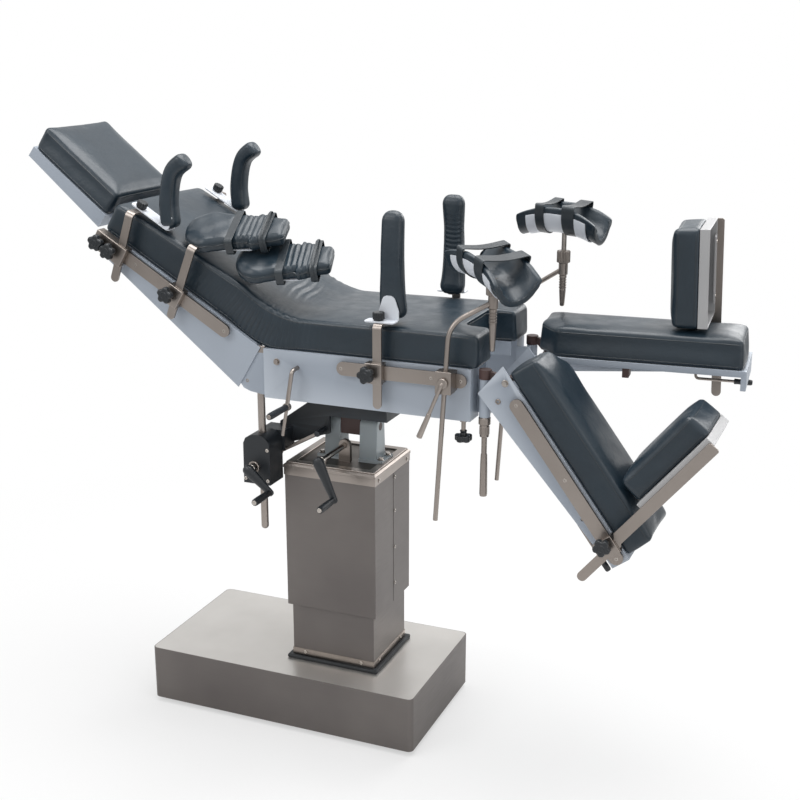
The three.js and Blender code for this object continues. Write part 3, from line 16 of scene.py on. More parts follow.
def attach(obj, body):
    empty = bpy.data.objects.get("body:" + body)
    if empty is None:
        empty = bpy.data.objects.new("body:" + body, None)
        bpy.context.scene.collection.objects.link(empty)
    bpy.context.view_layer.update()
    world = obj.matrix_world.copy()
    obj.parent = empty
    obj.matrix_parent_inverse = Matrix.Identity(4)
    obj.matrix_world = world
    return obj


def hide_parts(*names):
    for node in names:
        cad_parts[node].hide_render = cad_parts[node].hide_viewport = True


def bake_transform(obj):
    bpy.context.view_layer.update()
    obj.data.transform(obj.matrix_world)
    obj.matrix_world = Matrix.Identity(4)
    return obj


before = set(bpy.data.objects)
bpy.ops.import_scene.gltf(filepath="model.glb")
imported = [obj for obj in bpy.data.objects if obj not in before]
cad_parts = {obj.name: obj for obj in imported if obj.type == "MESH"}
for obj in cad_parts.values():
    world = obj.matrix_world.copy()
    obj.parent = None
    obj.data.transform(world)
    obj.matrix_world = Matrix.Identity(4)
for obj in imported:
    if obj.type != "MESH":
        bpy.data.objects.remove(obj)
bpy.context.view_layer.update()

logging.basicConfig(level=logging.INFO, format="%(message)s")
log = logging.getLogger("table")

MM = 0.001
MERGE = 1e-6  # m: points closer than this are made one
CAD_MERGE = 1e-5  # m: the same for a CAD node
FLAT = math.radians(1.0)  # faces that meet at less are made one
ON_LEVEL = 0.1  # mm: how near an edge lies to the level that names it
WEIGHTED_UP_TO = 50.0  # degrees: pieces shaded smooth only below this get weighted normals
SHEET_ANGLE = 50.0  # degrees: sheet metal keeps its softer bends
FILLET_SHARE = 0.45  # the most of a path's leg that a round corner takes
SPLINE_STEPS = 24
POLISHED = "polished_steel"

Array = np.ndarray
Pair = tuple[float, float]
Flat = list[Pair]
Point = tuple[float, float, float]
Outline = Sequence[Pair]
Chooser = Callable[[Vector, Vector], bool]


class Side(Enum):
    """The two sides of the table; a far piece is modelled, and a near one is its mirror image."""

    NEAR = -1
    FAR = 1

    @property
    def label(self) -> str:
        """The side's name as the CAD nodes and bodies end with it."""
        return self.name.lower()


class Axis(Enum):
    """The axis that an outline is pushed along, with the places of its two own axes."""

    X = (1, 2, 0)
    Y = (0, 2, 1)
    Z = (0, 1, 2)


def turn(axis: str, degrees: float) -> Matrix:
    """A turn about one axis through the origin."""
    return Matrix.Rotation(math.radians(degrees), 4, axis)


def shift(x: float, y: float, z: float) -> Matrix:
    """A move given in millimetres."""
    return Matrix.Translation(Vector((x, y, z)) * MM)


@dataclass(frozen=True)
class Place:
    """Where a sub-assembly's own axes stand at rest, in millimetres and degrees."""

    x: float
    y: float
    z: float
    swing: float = 0.0
    lean: float = 0.0
    side: Side = Side.FAR

    @property
    def matrix(self) -> Matrix:
        """From the sub-assembly's own axes to the row frame."""
        mirror = Matrix.Diagonal((1, self.side.value, 1, 1))
        return shift(self.x, self.y, self.z) @ turn("Z", self.swing) @ turn("Y", self.lean) @ mirror


SEAT_TOP = 1167.0
MID_Y = 18.236
SHIFT_X = -86.471
BACK_ANGLE = 31.0
HEAD_ANGLE = 38.5


def seat_place(side: Side = Side.FAR) -> Place:
    """The seat's axes, x from the column and z from the top of its frame."""
    return Place(SHIFT_X, MID_Y, SEAT_TOP, side=side)


def back_place(side: Side = Side.FAR) -> Place:
    """The back's axes, -x along it from its hinge and z out of its frame."""
    return Place(-235.26, MID_Y, 1165.0, lean=BACK_ANGLE, side=side)


# Modelling


@contextmanager
def editing(obj: Object) -> Iterator[None]:
    """Edit mode on one object alone, all of it selected, left again at the end."""
    alone(obj)
    bpy.ops.object.mode_set(mode="EDIT")
    bpy.ops.mesh.select_all(action="SELECT")
    try:
        yield
    finally:
        bpy.ops.object.mode_set(mode="OBJECT")


def alone(*objects: Object) -> None:
    """Selects these objects and nothing else, the first one active."""
    bpy.ops.object.select_all(action="DESELECT")
    for obj in objects:
        obj.select_set(True)
    bpy.context.view_layer.objects.active = objects[0]


def arc_points(centre: Pair, radius: float, start: float, end: float, steps: int) -> Flat:
    """Points along an arc, its angles in degrees."""
    angles = np.radians(np.linspace(start, end, steps + 1))
    return [(centre[0] + radius * math.cos(a), centre[1] + radius * math.sin(a)) for a in angles]


def round_box(u0: float, u1: float, v0: float, v1: float, radius: float, steps: int = 6) -> Flat:
    """The outline of a rectangle with round corners."""
    corners = [((u1 - radius, v0 + radius), -90), ((u1 - radius, v1 - radius), 0),
               ((u0 + radius, v1 - radius), 90), ((u0 + radius, v0 + radius), 180)]
    return [p for centre, start in corners for p in arc_points(centre, radius, start, start + 90, steps)]


def filleted(points: Sequence[Point], radius: float, steps: int = 7) -> list[Vector]:
    """The points of a bent path with its inner corners rounded."""
    corners = [Vector(p) for p in points]
    path = [corners[0]]
    for before, corner, after in zip(corners, corners[1:], corners[2:]):
        back, on = (before - corner), (after - corner)
        reach = min(radius, FILLET_SHARE * back.length, FILLET_SHARE * on.length)
        start, end = corner + back.normalized() * reach, corner + on.normalized() * reach
        for i in range(steps + 1):
            t = i / steps
            path.append(start.lerp(corner, t).lerp(corner.lerp(end, t), t))
    path.append(corners[-1])
    return path


def run_of(points: Array) -> Array:
    """How far along its line each point lies."""
    return np.concatenate([[0], np.cumsum(np.linalg.norm(np.diff(points, axis=0), axis=1))])


def spline_points(points: Sequence[Point], count: int) -> Array:
    """Even steps along a smooth curve through the points."""
    knots = np.array(points, float)
    knots = np.vstack([2 * knots[0] - knots[1], knots, 2 * knots[-1] - knots[-2]])
    fine = []
    for p0, p1, p2, p3 in zip(knots, knots[1:], knots[2:], knots[3:]):
        for t in np.linspace(0, 1, SPLINE_STEPS, endpoint=False):
            fine.append(0.5 * (2 * p1 + (p2 - p0) * t + (2 * p0 - 5 * p1 + 4 * p2 - p3) * t ** 2
                               + (3 * p1 - p0 - 3 * p2 + p3) * t ** 3))
    fine.append(knots[-2])
    curve = np.array(fine)
    run = run_of(curve)
    wanted = np.linspace(0, run[-1], count)
    return np.column_stack([np.interp(wanted, run, curve[:, k]) for k in range(3)])


def read(items: Sequence, key: str, width: int = 3, kind: type = np.float32) -> Array:
    """One property of every item, a row for each."""
    values = np.empty(len(items) * width, kind)
    items.foreach_get(key, values)
    return values.reshape(-1, width)


def level(height: float) -> Chooser:
    """Chooses the edges whose middle lies at a height."""
    return lambda middle, way: abs(middle.z - height) < ON_LEVEL


def linked(name: str, data: ID) -> Object:
    """A new object in the scene."""
    obj = bpy.data.objects.new(name, data)
    bpy.context.scene.collection.objects.link(obj)
    return obj


class Piece:
    """A mesh on the bench, modelled in millimetres with Blender's own operators."""

    def __init__(self, obj: Object) -> None:
        self.obj = obj

    @classmethod
    def from_mesh(cls, points: Sequence[Sequence[float]], edges: list, faces: list) -> "Piece":
        """A mesh from points in millimetres."""
        mesh = bpy.data.meshes.new("workpiece")
        mesh.from_pydata([tuple(c * MM for c in p) for p in points], edges, faces)
        return cls(linked("workpiece", mesh))

    @classmethod
    def block(cls, x0: float, x1: float, y0: float, y1: float, z0: float, z1: float) -> "Piece":
        """A box by its limits."""
        bpy.ops.object.select_all(action="DESELECT")
        middle = Vector((x0 + x1, y0 + y1, z0 + z1)) * MM / 2
        bpy.ops.mesh.primitive_cube_add(size=1, location=middle)
        obj = bpy.context.active_object
        obj.scale = Vector((x1 - x0, y1 - y0, z1 - z0)) * MM
        bpy.ops.object.transform_apply(location=True, rotation=True, scale=True)
        return cls(obj)

    @classmethod
    def rod(cls, start: Point, end: Point, radius: float, end_radius: float | None = None,
            sides: int = 32) -> "Piece":
        """A round bar or cone from one point to another."""
        bpy.ops.object.select_all(action="DESELECT")
        a, b = Vector(start) * MM, Vector(end) * MM
        tip = radius if end_radius is None else end_radius
        bpy.ops.mesh.primitive_cone_add(vertices=sides, radius1=radius * MM, radius2=tip * MM,
                                        depth=(b - a).length)
        piece = cls(bpy.context.active_object)
        aim = (b - a).to_track_quat("Z", "Y").to_matrix().to_4x4()
        return piece.put(Matrix.Translation((a + b) / 2) @ aim)

    @classmethod
    def turned(cls, profile: Outline, sides: int = 40) -> "Piece":
        """A round form spun about Z from its (radius, height) profile."""
        points = [(r, 0.0, z) for r, z in profile]
        piece = cls.from_mesh(points, [(i, i + 1) for i in range(len(points) - 1)], [])
        with editing(piece.obj):
            bpy.ops.mesh.spin(steps=sides, angle=2 * math.pi, center=(0, 0, 0), axis=(0, 0, 1))
        return piece.outward(MERGE)

    @classmethod
    def plate(cls, outline: Outline, axis: Axis, low: float, high: float) -> "Piece":
        """An outline pushed along an axis from one height to another."""
        u, v, w = axis.value
        points = []
        for a, b in outline:
            p = [0.0, 0.0, 0.0]
            p[u], p[v], p[w] = a, b, low
            points.append(p)
        piece = cls.from_mesh(points, [], [tuple(range(len(points)))])
        push = [0.0, 0.0, 0.0]
        push[w] = (high - low) * MM
        with editing(piece.obj):
            bpy.ops.mesh.extrude_region_move(TRANSFORM_OT_translate={"value": push})
        return piece.outward()

    @classmethod
    def tube(cls, path: Sequence[Vector], radius: float, resolution: int = 6,
             closed: bool = False) -> "Piece":
        """A round bar along a path, with its ends closed."""
        curve = bpy.data.curves.new("path", "CURVE")
        curve.dimensions, curve.bevel_depth = "3D", radius * MM
        curve.bevel_resolution, curve.use_fill_caps = resolution, not closed
        spline = curve.splines.new("POLY")
        spline.points.add(len(path) - 1)
        for point, place in zip(spline.points, path):
            point.co = (*(c * MM for c in place), 1.0)
        spline.use_cyclic_u = closed
        alone(linked("path", curve))
        bpy.ops.object.convert(target="MESH")
        return cls(bpy.context.active_object).outward(MERGE)

    @classmethod
    def loft(cls, rings: Array) -> "Piece":
        """A closed body through rings of equal count, in millimetres."""
        count = rings.shape[1]
        faces = [(r * count + i, r * count + (i + 1) % count, (r + 1) * count + (i + 1) % count,
                  (r + 1) * count + i) for r in range(len(rings) - 1) for i in range(count)]
        faces += [tuple(range(count)), tuple(range((len(rings) - 1) * count, len(rings) * count))]
        return cls.from_mesh(rings.reshape(-1, 3).tolist(), [], faces).outward()

    @classmethod
    def copy_of(cls, node: str) -> "Piece":
        """A merged copy of a CAD node, its flat faces made whole again."""
        obj = linked(f"{node}_copy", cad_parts[node].data.copy())
        alone(obj)
        if obj.data.has_custom_normals:
            bpy.ops.mesh.customdata_custom_splitnormals_clear()
        with editing(obj):
            bpy.ops.mesh.remove_doubles(threshold=CAD_MERGE)
        return cls(obj).flattened()

    def outward(self, merge: float = 0.0) -> "Piece":
        """Turns every face outward, with points closer than the merge distance made one."""
        with editing(self.obj):
            if merge:
                bpy.ops.mesh.remove_doubles(threshold=merge)
            bpy.ops.mesh.normals_make_consistent(inside=False)
        return self

    def flattened(self) -> "Piece":
        """Makes each flat face one face again."""
        with editing(self.obj):
            bpy.ops.mesh.dissolve_limited(angle_limit=FLAT)
        return self

    def duplicate(self) -> "Piece":
        """A copy with a mesh of its own."""
        return Piece(linked("workpiece", self.obj.data.copy()))

    def round_edges(self, width: float, segments: int, test: Chooser) -> "Piece":
        """Bevels the edges that the test chooses by their middle in millimetres and their direction."""
        with editing(self.obj):
            bpy.ops.mesh.select_mode(type="EDGE")
            bpy.ops.mesh.select_all(action="DESELECT")
            net = bmesh.from_edit_mesh(self.obj.data)
            for edge in net.edges:
                start, end = (corner.co for corner in edge.verts)
                if test((start + end) / 2 / MM, (end - start).normalized()):
                    edge.select_set(True)
            net.select_flush_mode()
            bmesh.update_edit_mesh(self.obj.data)
            bpy.ops.mesh.bevel(offset=width * MM, segments=segments, affect="EDGES")
        return self

    def modified(self, kind: str, **options: object) -> "Piece":
        """Applies a modifier of that kind with these options."""
        modifier = self.obj.modifiers.new(kind, kind)
        for key, value in options.items():
            setattr(modifier, key, value)
        alone(self.obj)
        bpy.ops.object.modifier_apply(modifier=modifier.name)
        return self

    def soften(self, width: float, segments: int = 2, angle: float = 32.0) -> "Piece":
        """Rounds every edge sharper than the angle."""
        return self.modified("BEVEL", width=width * MM, segments=segments, limit_method="ANGLE",
                             angle_limit=math.radians(angle), miter_outer="MITER_ARC")

    def sheet_edges(self, width: float = 0.9) -> "Piece":
        """Softens the edges of sheet metal or webbing and leaves its bends alone."""
        return self.soften(width, 2, SHEET_ANGLE)

    def subdivided(self) -> "Piece":
        """Smooths the mesh with one applied subdivision."""
        return self.modified("SUBSURF", levels=1, render_levels=1)

    def minus(self, cutter: "Piece") -> "Piece":
        """Takes another piece's volume away, and uses that piece up."""
        self.modified("BOOLEAN", operation="DIFFERENCE", solver="EXACT", object=cutter.obj)
        bpy.data.objects.remove(cutter.obj)
        return self

    def cut_off(self, point: Vector, way: Vector) -> "Piece":
        """Cuts off what lies beyond a plane, and closes the cut."""
        with editing(self.obj):
            bpy.ops.mesh.bisect(plane_co=point, plane_no=way, use_fill=True, clear_outer=True)
        return self

    def with_all(self, *others: "Piece") -> "Piece":
        """Joins other pieces into this one."""
        alone(self.obj, *(o.obj for o in others))
        bpy.ops.object.join()
        return self

    def put(self, matrix: Matrix) -> "Piece":
        """Moves the mesh by a matrix, its faces kept outward when the matrix mirrors it."""
        alone(self.obj)
        self.obj.matrix_world = matrix
        bpy.ops.object.transform_apply(location=True, rotation=True, scale=True)
        if matrix.determinant() < 0:
            net = bmesh.new()
            net.from_mesh(self.obj.data)
            inside_out = net.calc_volume(signed=True) < 0
            net.free()
            if inside_out:
                with editing(self.obj):
                    bpy.ops.mesh.flip_normals()
        return self

    def move_points(self, change: Callable[[Array, Array], Array]) -> "Piece":
        """Moves the vertices by a rule on their places and normals, in millimetres."""
        mesh = self.obj.data
        places, normals = read(mesh.vertices, "co"), read(mesh.vertex_normals, "vector")
        moved = change(places.astype(float) / MM, normals.astype(float))
        mesh.vertices.foreach_set("co", (moved * MM).astype(np.float32).ravel())
        mesh.update()
        return self

    def finish(self, name: str, body: str | None, finish: "Finish", stands_for: Sequence[str] = (),
               smooth: float = 35.0, slot: str = "") -> Object:
        """Shades, names and dresses the piece, and hands it to the body it rides on.

        Args:
            name: The piece's name.
            body: The CAD body that carries it, or None where it spans two and rides on neither.
            finish: Its finish.
            stands_for: The CAD nodes that it replaces.
            smooth: The angle in degrees below which edges are shaded smooth.
            slot: The record's material slot, where it isn't the finish's own. It is not used.

        Returns:
            The finished object.
        """
        obj = self.obj
        alone(obj)
        bpy.ops.object.shade_smooth_by_angle(angle=math.radians(smooth))
        if smooth <= WEIGHTED_UP_TO:
            self.modified("WEIGHTED_NORMAL", keep_sharp=True)
        obj.name = obj.data.name = name
        obj.data.materials.clear()
        obj.data.materials.append(finish.material)
        slot = slot or finish.slot
        if body:
            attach(obj, body)
        if stands_for:
            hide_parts(*stands_for)
        log.info("%s: %d faces", name, len(obj.data.polygons))
        return obj


# Finishes


def tint(code: str) -> tuple[float, float, float, float]:
    """A written colour as Blender's linear values."""
    values = [int(code[i:i + 2], 16) / 255 for i in (1, 3, 5)]
    linear = [v / 12.92 if v <= 0.04045 else ((v + 0.055) / 1.055) ** 2.4 for v in values]
    return (*linear, 1.0)


class NodeBoard:
    """A material's nodes, added and linked one by one."""

    def __init__(self, name: str) -> None:
        self.material = bpy.data.materials.new(name)
        self.material.use_nodes = True
        self.tree = self.material.node_tree
        self.tree.nodes.clear()
        self.coordinates = self.tree.nodes.new("ShaderNodeTexCoord").outputs["Object"]
        output = self.tree.nodes.new("ShaderNodeOutputMaterial")
        self.shader = self.tree.nodes.new("ShaderNodeBsdfPrincipled")
        self.link(self.shader.outputs["BSDF"], output.inputs["Surface"])

    def link(self, source: NodeSocket, target: NodeSocket) -> None:
        """Links one socket to another."""
        self.tree.links.new(source, target)

    def node(self, kind: str, sockets: dict | None = None, **options: object) -> Node:
        """Adds a node with its options; each input takes a value or another node's socket."""
        made = self.tree.nodes.new(kind)
        for key, value in options.items():
            setattr(made, key, value)
        for key, value in (sockets or {}).items():
            if isinstance(value, NodeSocket):
                self.link(value, made.inputs[key])
            else:
                made.inputs[key].default_value = value
        return made

    def noise(self, scale: float, detail: float = 3.0, stretch: Point = (1, 1, 1),
              distortion: float = 0.0) -> NodeSocket:
        """Noise on the object's own coordinates, stretched where asked."""
        mapping = self.node("ShaderNodeMapping", {"Vector": self.coordinates, "Scale": stretch})
        return self.node("ShaderNodeTexNoise", {"Vector": mapping.outputs["Vector"], "Scale": scale,
                                                "Detail": detail, "Distortion": distortion}).outputs["Fac"]

    def ranged(self, source: NodeSocket, low: float, high: float, new_low: float,
               new_high: float) -> NodeSocket:
        """A value moved from one range to another."""
        return self.node("ShaderNodeMapRange", {"Value": source, "From Min": low, "From Max": high,
                                                "To Min": new_low, "To Max": new_high}).outputs["Result"]

    def mixed(self, factor: NodeSocket, first: object, second: object) -> NodeSocket:
        """Two colours mixed by a factor; each is a colour or a socket."""
        made = self.node("ShaderNodeMix", data_type="RGBA")
        self.link(factor, made.inputs["Factor"])
        for name, value in (("A", first), ("B", second)):
            socket = next(s for s in made.inputs if s.name == name and s.type == "RGBA")
            if isinstance(value, NodeSocket):
                self.link(value, socket)
            else:
                socket.default_value = value
        return next(s for s in made.outputs if s.type == "RGBA")

    def bump(self, height: NodeSocket, strength: float, distance: float,
             under: NodeSocket | None = None) -> NodeSocket:
        """A bump in the surface, on top of another one where given."""
        sockets = {"Height": height, "Strength": strength, "Distance": distance * MM}
        if under:
            sockets["Normal"] = under
        return self.node("ShaderNodeBump", sockets).outputs["Normal"]

    def edge_wear(self, low: float = 0.53, high: float = 0.62) -> NodeSocket:
        """How far the surface stands out as an edge, from none to all."""
        geometry = self.node("ShaderNodeNewGeometry")
        return self.ranged(geometry.outputs["Pointiness"], low, high, 0.0, 1.0)

    def plug(self, **links: NodeSocket) -> Material:
        """Links the colour, roughness and normal to the shader."""
        names = {"colour": "Base Color", "roughness": "Roughness", "normal": "Normal"}
        for key, source in links.items():
            self.link(source, self.shader.inputs[names[key]])
        return self.material


@dataclass(frozen=True)
class Finish:
    """A material with the name of the record's slot that it is meant to fill."""

    material: Material
    slot: str


@dataclass(frozen=True)
class Leather:
    """Coated upholstery leather with a fine grain and soft creases."""

    name: str = "upholstery_leather"
    dark: str = "#15212a"
    light: str = "#1d2f3b"
    worn: str = "#3a4c59"
    grain: float = 520.0
    slot: str = "leather"

    def build(self) -> Finish:
        """The leather as a material."""
        board = NodeBoard(self.name)
        board.shader.inputs["Specular IOR Level"].default_value = 0.55
        colour = board.mixed(board.noise(7.0, 5.0), tint(self.dark), tint(self.light))
        colour = board.mixed(board.edge_wear(), colour, tint(self.worn))
        cells = board.node("ShaderNodeTexVoronoi", {"Vector": board.coordinates, "Scale": self.grain})
        creases = board.bump(board.noise(38.0, 6.0, distortion=1.2), 0.34, 1.9)
        pebbles = board.bump(cells.outputs["Distance"], 0.22, 0.35, creases)
        rough = board.ranged(board.noise(24.0, 4.0), 0.3, 0.7, 0.3, 0.44)
        return Finish(board.plug(colour=colour, roughness=rough, normal=pebbles), self.slot)


@dataclass(frozen=True)
class Metal:
    """Bare metal with its brush marks along one direction."""

    name: str
    dark: str
    light: str
    rough: Pair = (0.26, 0.42)
    stretch: Point = (1.0, 1.0, 60.0)
    metallic: float = 1.0
    marks: float = 0.12
    slot: str = "steel"

    def build(self) -> Finish:
        """The metal as a material."""
        board = NodeBoard(self.name)
        board.shader.inputs["Metallic"].default_value = self.metallic
        brushed = board.noise(16.0, 6.0, self.stretch)
        clouds = board.noise(3.2, 3.0)
        colour = board.mixed(board.ranged(clouds, 0.3, 0.7, 0.0, 1.0), tint(self.dark), tint(self.light))
        rough = board.ranged(brushed, 0.3, 0.7, *self.rough)
        return Finish(board.plug(colour=colour, roughness=rough,
                                 normal=board.bump(brushed, self.marks, 0.08)), self.slot)


@dataclass(frozen=True)
class Paint:
    """Paint on sheet or cast metal, rubbed a little paler along its edges."""

    name: str
    colour: str
    shade: str
    edge: str
    rough: Pair = (0.34, 0.46)
    texture: float = 0.06
    texture_scale: float = 260.0
    slot: str = "frame_paint"

    def build(self) -> Finish:
        """The paint as a material."""
        board = NodeBoard(self.name)
        colour = board.mixed(board.noise(4.5, 4.0), tint(self.shade), tint(self.colour))
        colour = board.mixed(board.edge_wear(0.54, 0.66), colour, tint(self.edge))
        rough = board.ranged(board.noise(18.0, 4.0), 0.3, 0.7, *self.rough)
        peel = board.bump(board.noise(self.texture_scale, 3.0), self.texture, 0.5)
        return Finish(board.plug(colour=colour, roughness=rough, normal=peel), self.slot)


@dataclass(frozen=True)
class Moulded:
    """Moulded plastic or rubber with a fine spark texture."""

    name: str
    colour: str
    shade: str
    rough: Pair = (0.3, 0.44)
    texture: float = 0.12
    slot: str = "rubber"

    def build(self) -> Finish:
        """The plastic as a material."""
        board = NodeBoard(self.name)
        colour = board.mixed(board.noise(12.0, 3.0), tint(self.shade), tint(self.colour))
        rough = board.ranged(board.noise(30.0, 4.0), 0.3, 0.7, *self.rough)
        spark = board.bump(board.noise(700.0, 2.0), self.texture, 0.2)
        return Finish(board.plug(colour=colour, roughness=rough, normal=spark), self.slot)


class Finishes:
    """Every finish of the table, built once."""

    def __init__(self) -> None:
        self.leather = Leather().build()
        self.strap = Leather("strap_leather", "#191f24", "#252d33", "#39434a", 900.0).build()
        self.column = Metal("brushed_column_steel", "#676260", "#75706d", (0.36, 0.5), metallic=0.6,
                            marks=0.06).build()
        self.steel = Metal("satin_steel", "#8f8781", "#a19993", (0.28, 0.4), (40.0, 1.0, 1.0),
                           marks=0.04).build()
        # Painted light: a paler copy of the column steel for the base's top, as if lit from above.
        self.top_light_steel = Metal("painted_top_light_steel", "#c3c0bc", "#d2cfcb", (0.3, 0.42), metallic=0.7,
                                  marks=0.04).build()
        self.pan_steel = Metal("pan_sheet_steel", "#a9a9aa", "#b9b9ba", (0.34, 0.46), metallic=0.3,
                               marks=0.04).build()
        # Painted shade: a darker steel for the floor of the column cap's recess.
        self.recess_shade_steel = Metal("shaded_steel", "#5d5854", "#6a6560", (0.4, 0.55)).build()
        self.chrome = Metal("polished_steel", "#a8a29c", "#b8b2ac", (0.16, 0.26), (1.0, 1.0, 8.0), marks=0.0,
                            slot=POLISHED).build()
        self.frame_paint = Paint("grey_frame_paint", "#a3acb8", "#9ba4b0", "#c0c8d2").build()
        self.bracket_paint = Paint("bracket_paint", "#adb6ba", "#a3acb0", "#c6cdd0",
                                   slot="bracket_paint").build()
        self.casting = Paint("black_casting", "#1f2429", "#191d21", "#3a4046", (0.38, 0.55), 0.22, 170.0,
                             "casting").build()
        self.brown = Paint("brown_casting", "#4b3633", "#3c2b29", "#6a524e", (0.42, 0.6), 0.2, 150.0,
                           "brown_casting").build()
        self.plastic = Moulded("black_plastic", "#20252a", "#181c20", slot="black_plastic").build()
        self.rubber = Moulded("black_rubber", "#23262a", "#1b1e21", (0.55, 0.7), 0.2).build()
        self.plate = Paint("white_plate_enamel", "#dfe3ea", "#d5dae2", "#eef1f5", (0.28, 0.38)).build()
        self.foot = Moulded("white_foot_plastic", "#d9dcdf", "#cbd0d4", (0.35, 0.5), 0.08).build()


# Upholstery


@dataclass(frozen=True)
class Stuffing:
    """How a cover swells over its foam."""

    voxel: float = 6.0
    pressure: float = 4.0
    cap: float = 6.0
    frames: int = 20
    quality: int = 4
    evening: int = 14
    keep: float = 0.4

    def swell(self, piece: Piece, held: Callable[[Array], Array] | None = None) -> Piece:
        """Remeshes the piece, lets cloth pressure fill it, and applies the capped result.

        Args:
            piece: The closed block of foam.
            held: Names the points, from their places in millimetres, that stay where they are.

        Returns:
            The same piece, swollen and subdivided once.
        """
        obj = piece.obj
        alone(obj)
        obj.data.remesh_voxel_size = self.voxel * MM
        bpy.ops.object.voxel_remesh()
        rest = read(obj.data.vertices, "co")
        stay = held(rest.astype(float) / MM) if held else np.zeros(len(rest), bool)
        self._blow_up(obj, rest, stay)
        return piece.subdivided()

    def _blow_up(self, obj: Object, rest: Array, stay: Array) -> None:
        """Runs the cloth with pressure and writes the capped shape to the mesh."""
        group = obj.vertex_groups.new(name="held")
        group.add(np.flatnonzero(stay).tolist(), 1.0, "REPLACE")
        modifier = obj.modifiers.new("Cloth", "CLOTH")
        cloth = modifier.settings
        cloth.quality = self.quality
        cloth.use_pressure, cloth.uniform_pressure_force = True, self.pressure
        cloth.effector_weights.gravity = 0.0
        cloth.vertex_group_mass = group.name
        modifier.collision_settings.use_collision = False
        modifier.point_cache.frame_start, modifier.point_cache.frame_end = 1, self.frames
        scene = bpy.context.scene
        for number in range(1, self.frames + 1):
            scene.frame_set(number)
        shaped = obj.evaluated_get(bpy.context.evaluated_depsgraph_get())
        moved = read(shaped.data.vertices, "co") - rest
        length = np.linalg.norm(moved, axis=1, keepdims=True)
        moved *= np.minimum(1.0, self.cap * MM / np.maximum(length, 1e-9))
        edges = read(obj.data.edges, "vertices", 2, np.int32)
        starts, ends = np.concatenate([edges, edges[:, ::-1]]).T
        count = np.maximum(np.bincount(starts, minlength=len(rest)), 1)
        for _ in range(self.evening):
            for axis in range(3):
                around = np.bincount(starts, moved[ends, axis], len(rest)) / count
                moved[:, axis] = self.keep * moved[:, axis] + (1 - self.keep) * around
        moved[stay] = 0.0
        obj.modifiers.remove(modifier)
        scene.frame_set(1)
        obj.data.vertices.foreach_set("co", (rest + moved).ravel())
        obj.vertex_groups.clear()
        obj.data.update()


def seam_on(piece: Piece, path: Sequence[Sequence[float]], radius: float = 1.3, sink: float = 0.5,
            closed: bool = True) -> Piece:
    """A sewn seam on a cushion's surface.

    Args:
        piece: The finished cushion.
        path: Points near its surface, in millimetres.
        radius: Half the width of the cord in the seam.
        sink: How far its middle lies under the cover.
        closed: Whether it runs all the way round.

    Returns:
        The seam as a piece of its own.
    """
    net = bmesh.new()
    net.from_mesh(piece.obj.data)
    tree = BVHTree.FromBMesh(net)
    net.free()
    on = []
    for point in path:
        place, normal, _, _ = tree.find_nearest(Vector(point) * MM)
        on.append(place / MM - normal * sink)
    smooth = [(a + b * 2 + c) / 4 for a, b, c in zip(on[-1:] + on[:-1], on, on[1:] + on[:1])]
    if not closed:
        smooth = on
    return Piece.tube(smooth, radius, 3, closed)


def even_loop(outline: Outline, height: float, step: float = 9.0) -> list[Point]:
    """Even steps round a closed outline at one height."""
    loop = np.array(list(outline) + [outline[0]], float)
    run = run_of(loop)
    wanted = np.linspace(0, run[-1], int(run[-1] / step), endpoint=False)
    return [(float(np.interp(w, run, loop[:, 0])), float(np.interp(w, run, loop[:, 1])), height)
            for w in wanted]


@dataclass
class Cushion:
    """A box cushion: foam block, cover and its two seams."""

    x0: float
    x1: float
    y0: float
    y1: float
    thickness: float
    base: float = 0.0
    corner: float = 16.0
    roll: float = 11.0
    inset: float = 2.5
    crown: float = 4.0
    draw: float = 2.2
    stuffing: Stuffing = field(default_factory=Stuffing)

    def outline(self, inset: float = 0.0) -> Flat:
        """Its plan, drawn in by the inset."""
        return round_box(self.x0 + inset, self.x1 - inset, self.y0 + inset, self.y1 - inset, self.corner)

    def foam(self) -> Piece:
        """The block of foam before its cover swells."""
        piece = Piece.plate(self.outline(self.inset), Axis.Z, self.base,
                            self.base + self.thickness - self.crown)
        top, low = self.base + self.thickness - self.crown, self.base
        piece.round_edges(self.roll, 4, level(top))
        piece.round_edges(self.roll * 0.45, 2, level(low))
        return piece

    def covered(self, foam: Piece | None = None) -> Piece:
        """The cushion in its cover."""
        base = self.base
        piece = self.stuffing.swell(foam or self.foam(), lambda p: p[:, 2] < base + 2.0)

        def shape(places: Array, normals: Array) -> Array:
            """Crowns the top a little more and draws the long sides in between the corners."""
            u = (places[:, 0] - self.x0) / (self.x1 - self.x0) * 2 - 1
            v = (places[:, 1] - self.y0) / (self.y1 - self.y0) * 2 - 1
            up = np.clip((places[:, 2] - base) / self.thickness, 0, 1)
            dome = np.clip(1 - u ** 2, 0, 1) ** 0.6 * np.clip(1 - v ** 2, 0, 1) ** 0.6
            places[:, 2] += self.crown * dome * up ** 3
            side = np.sin(np.pi * np.clip(up, 0, 1)) * self.draw
            places[:, 1] -= np.sign(v) * side * np.clip(1 - u ** 2, 0, 1) * np.abs(v) ** 8
            places[:, 0] -= np.sign(u) * side * np.clip(1 - v ** 2, 0, 1) * np.abs(u) ** 8
            return places

        return piece.move_points(shape)

    def seams(self, piece: Piece) -> Piece:
        """The seam round the top edge and the one round the bottom edge."""
        top = seam_on(piece, even_loop(self.outline(), self.base + self.thickness - self.roll - 2))
        low = seam_on(piece, even_loop(self.outline(), self.base + self.roll * 0.7))
        return top.with_all(low)


# Camera and studio


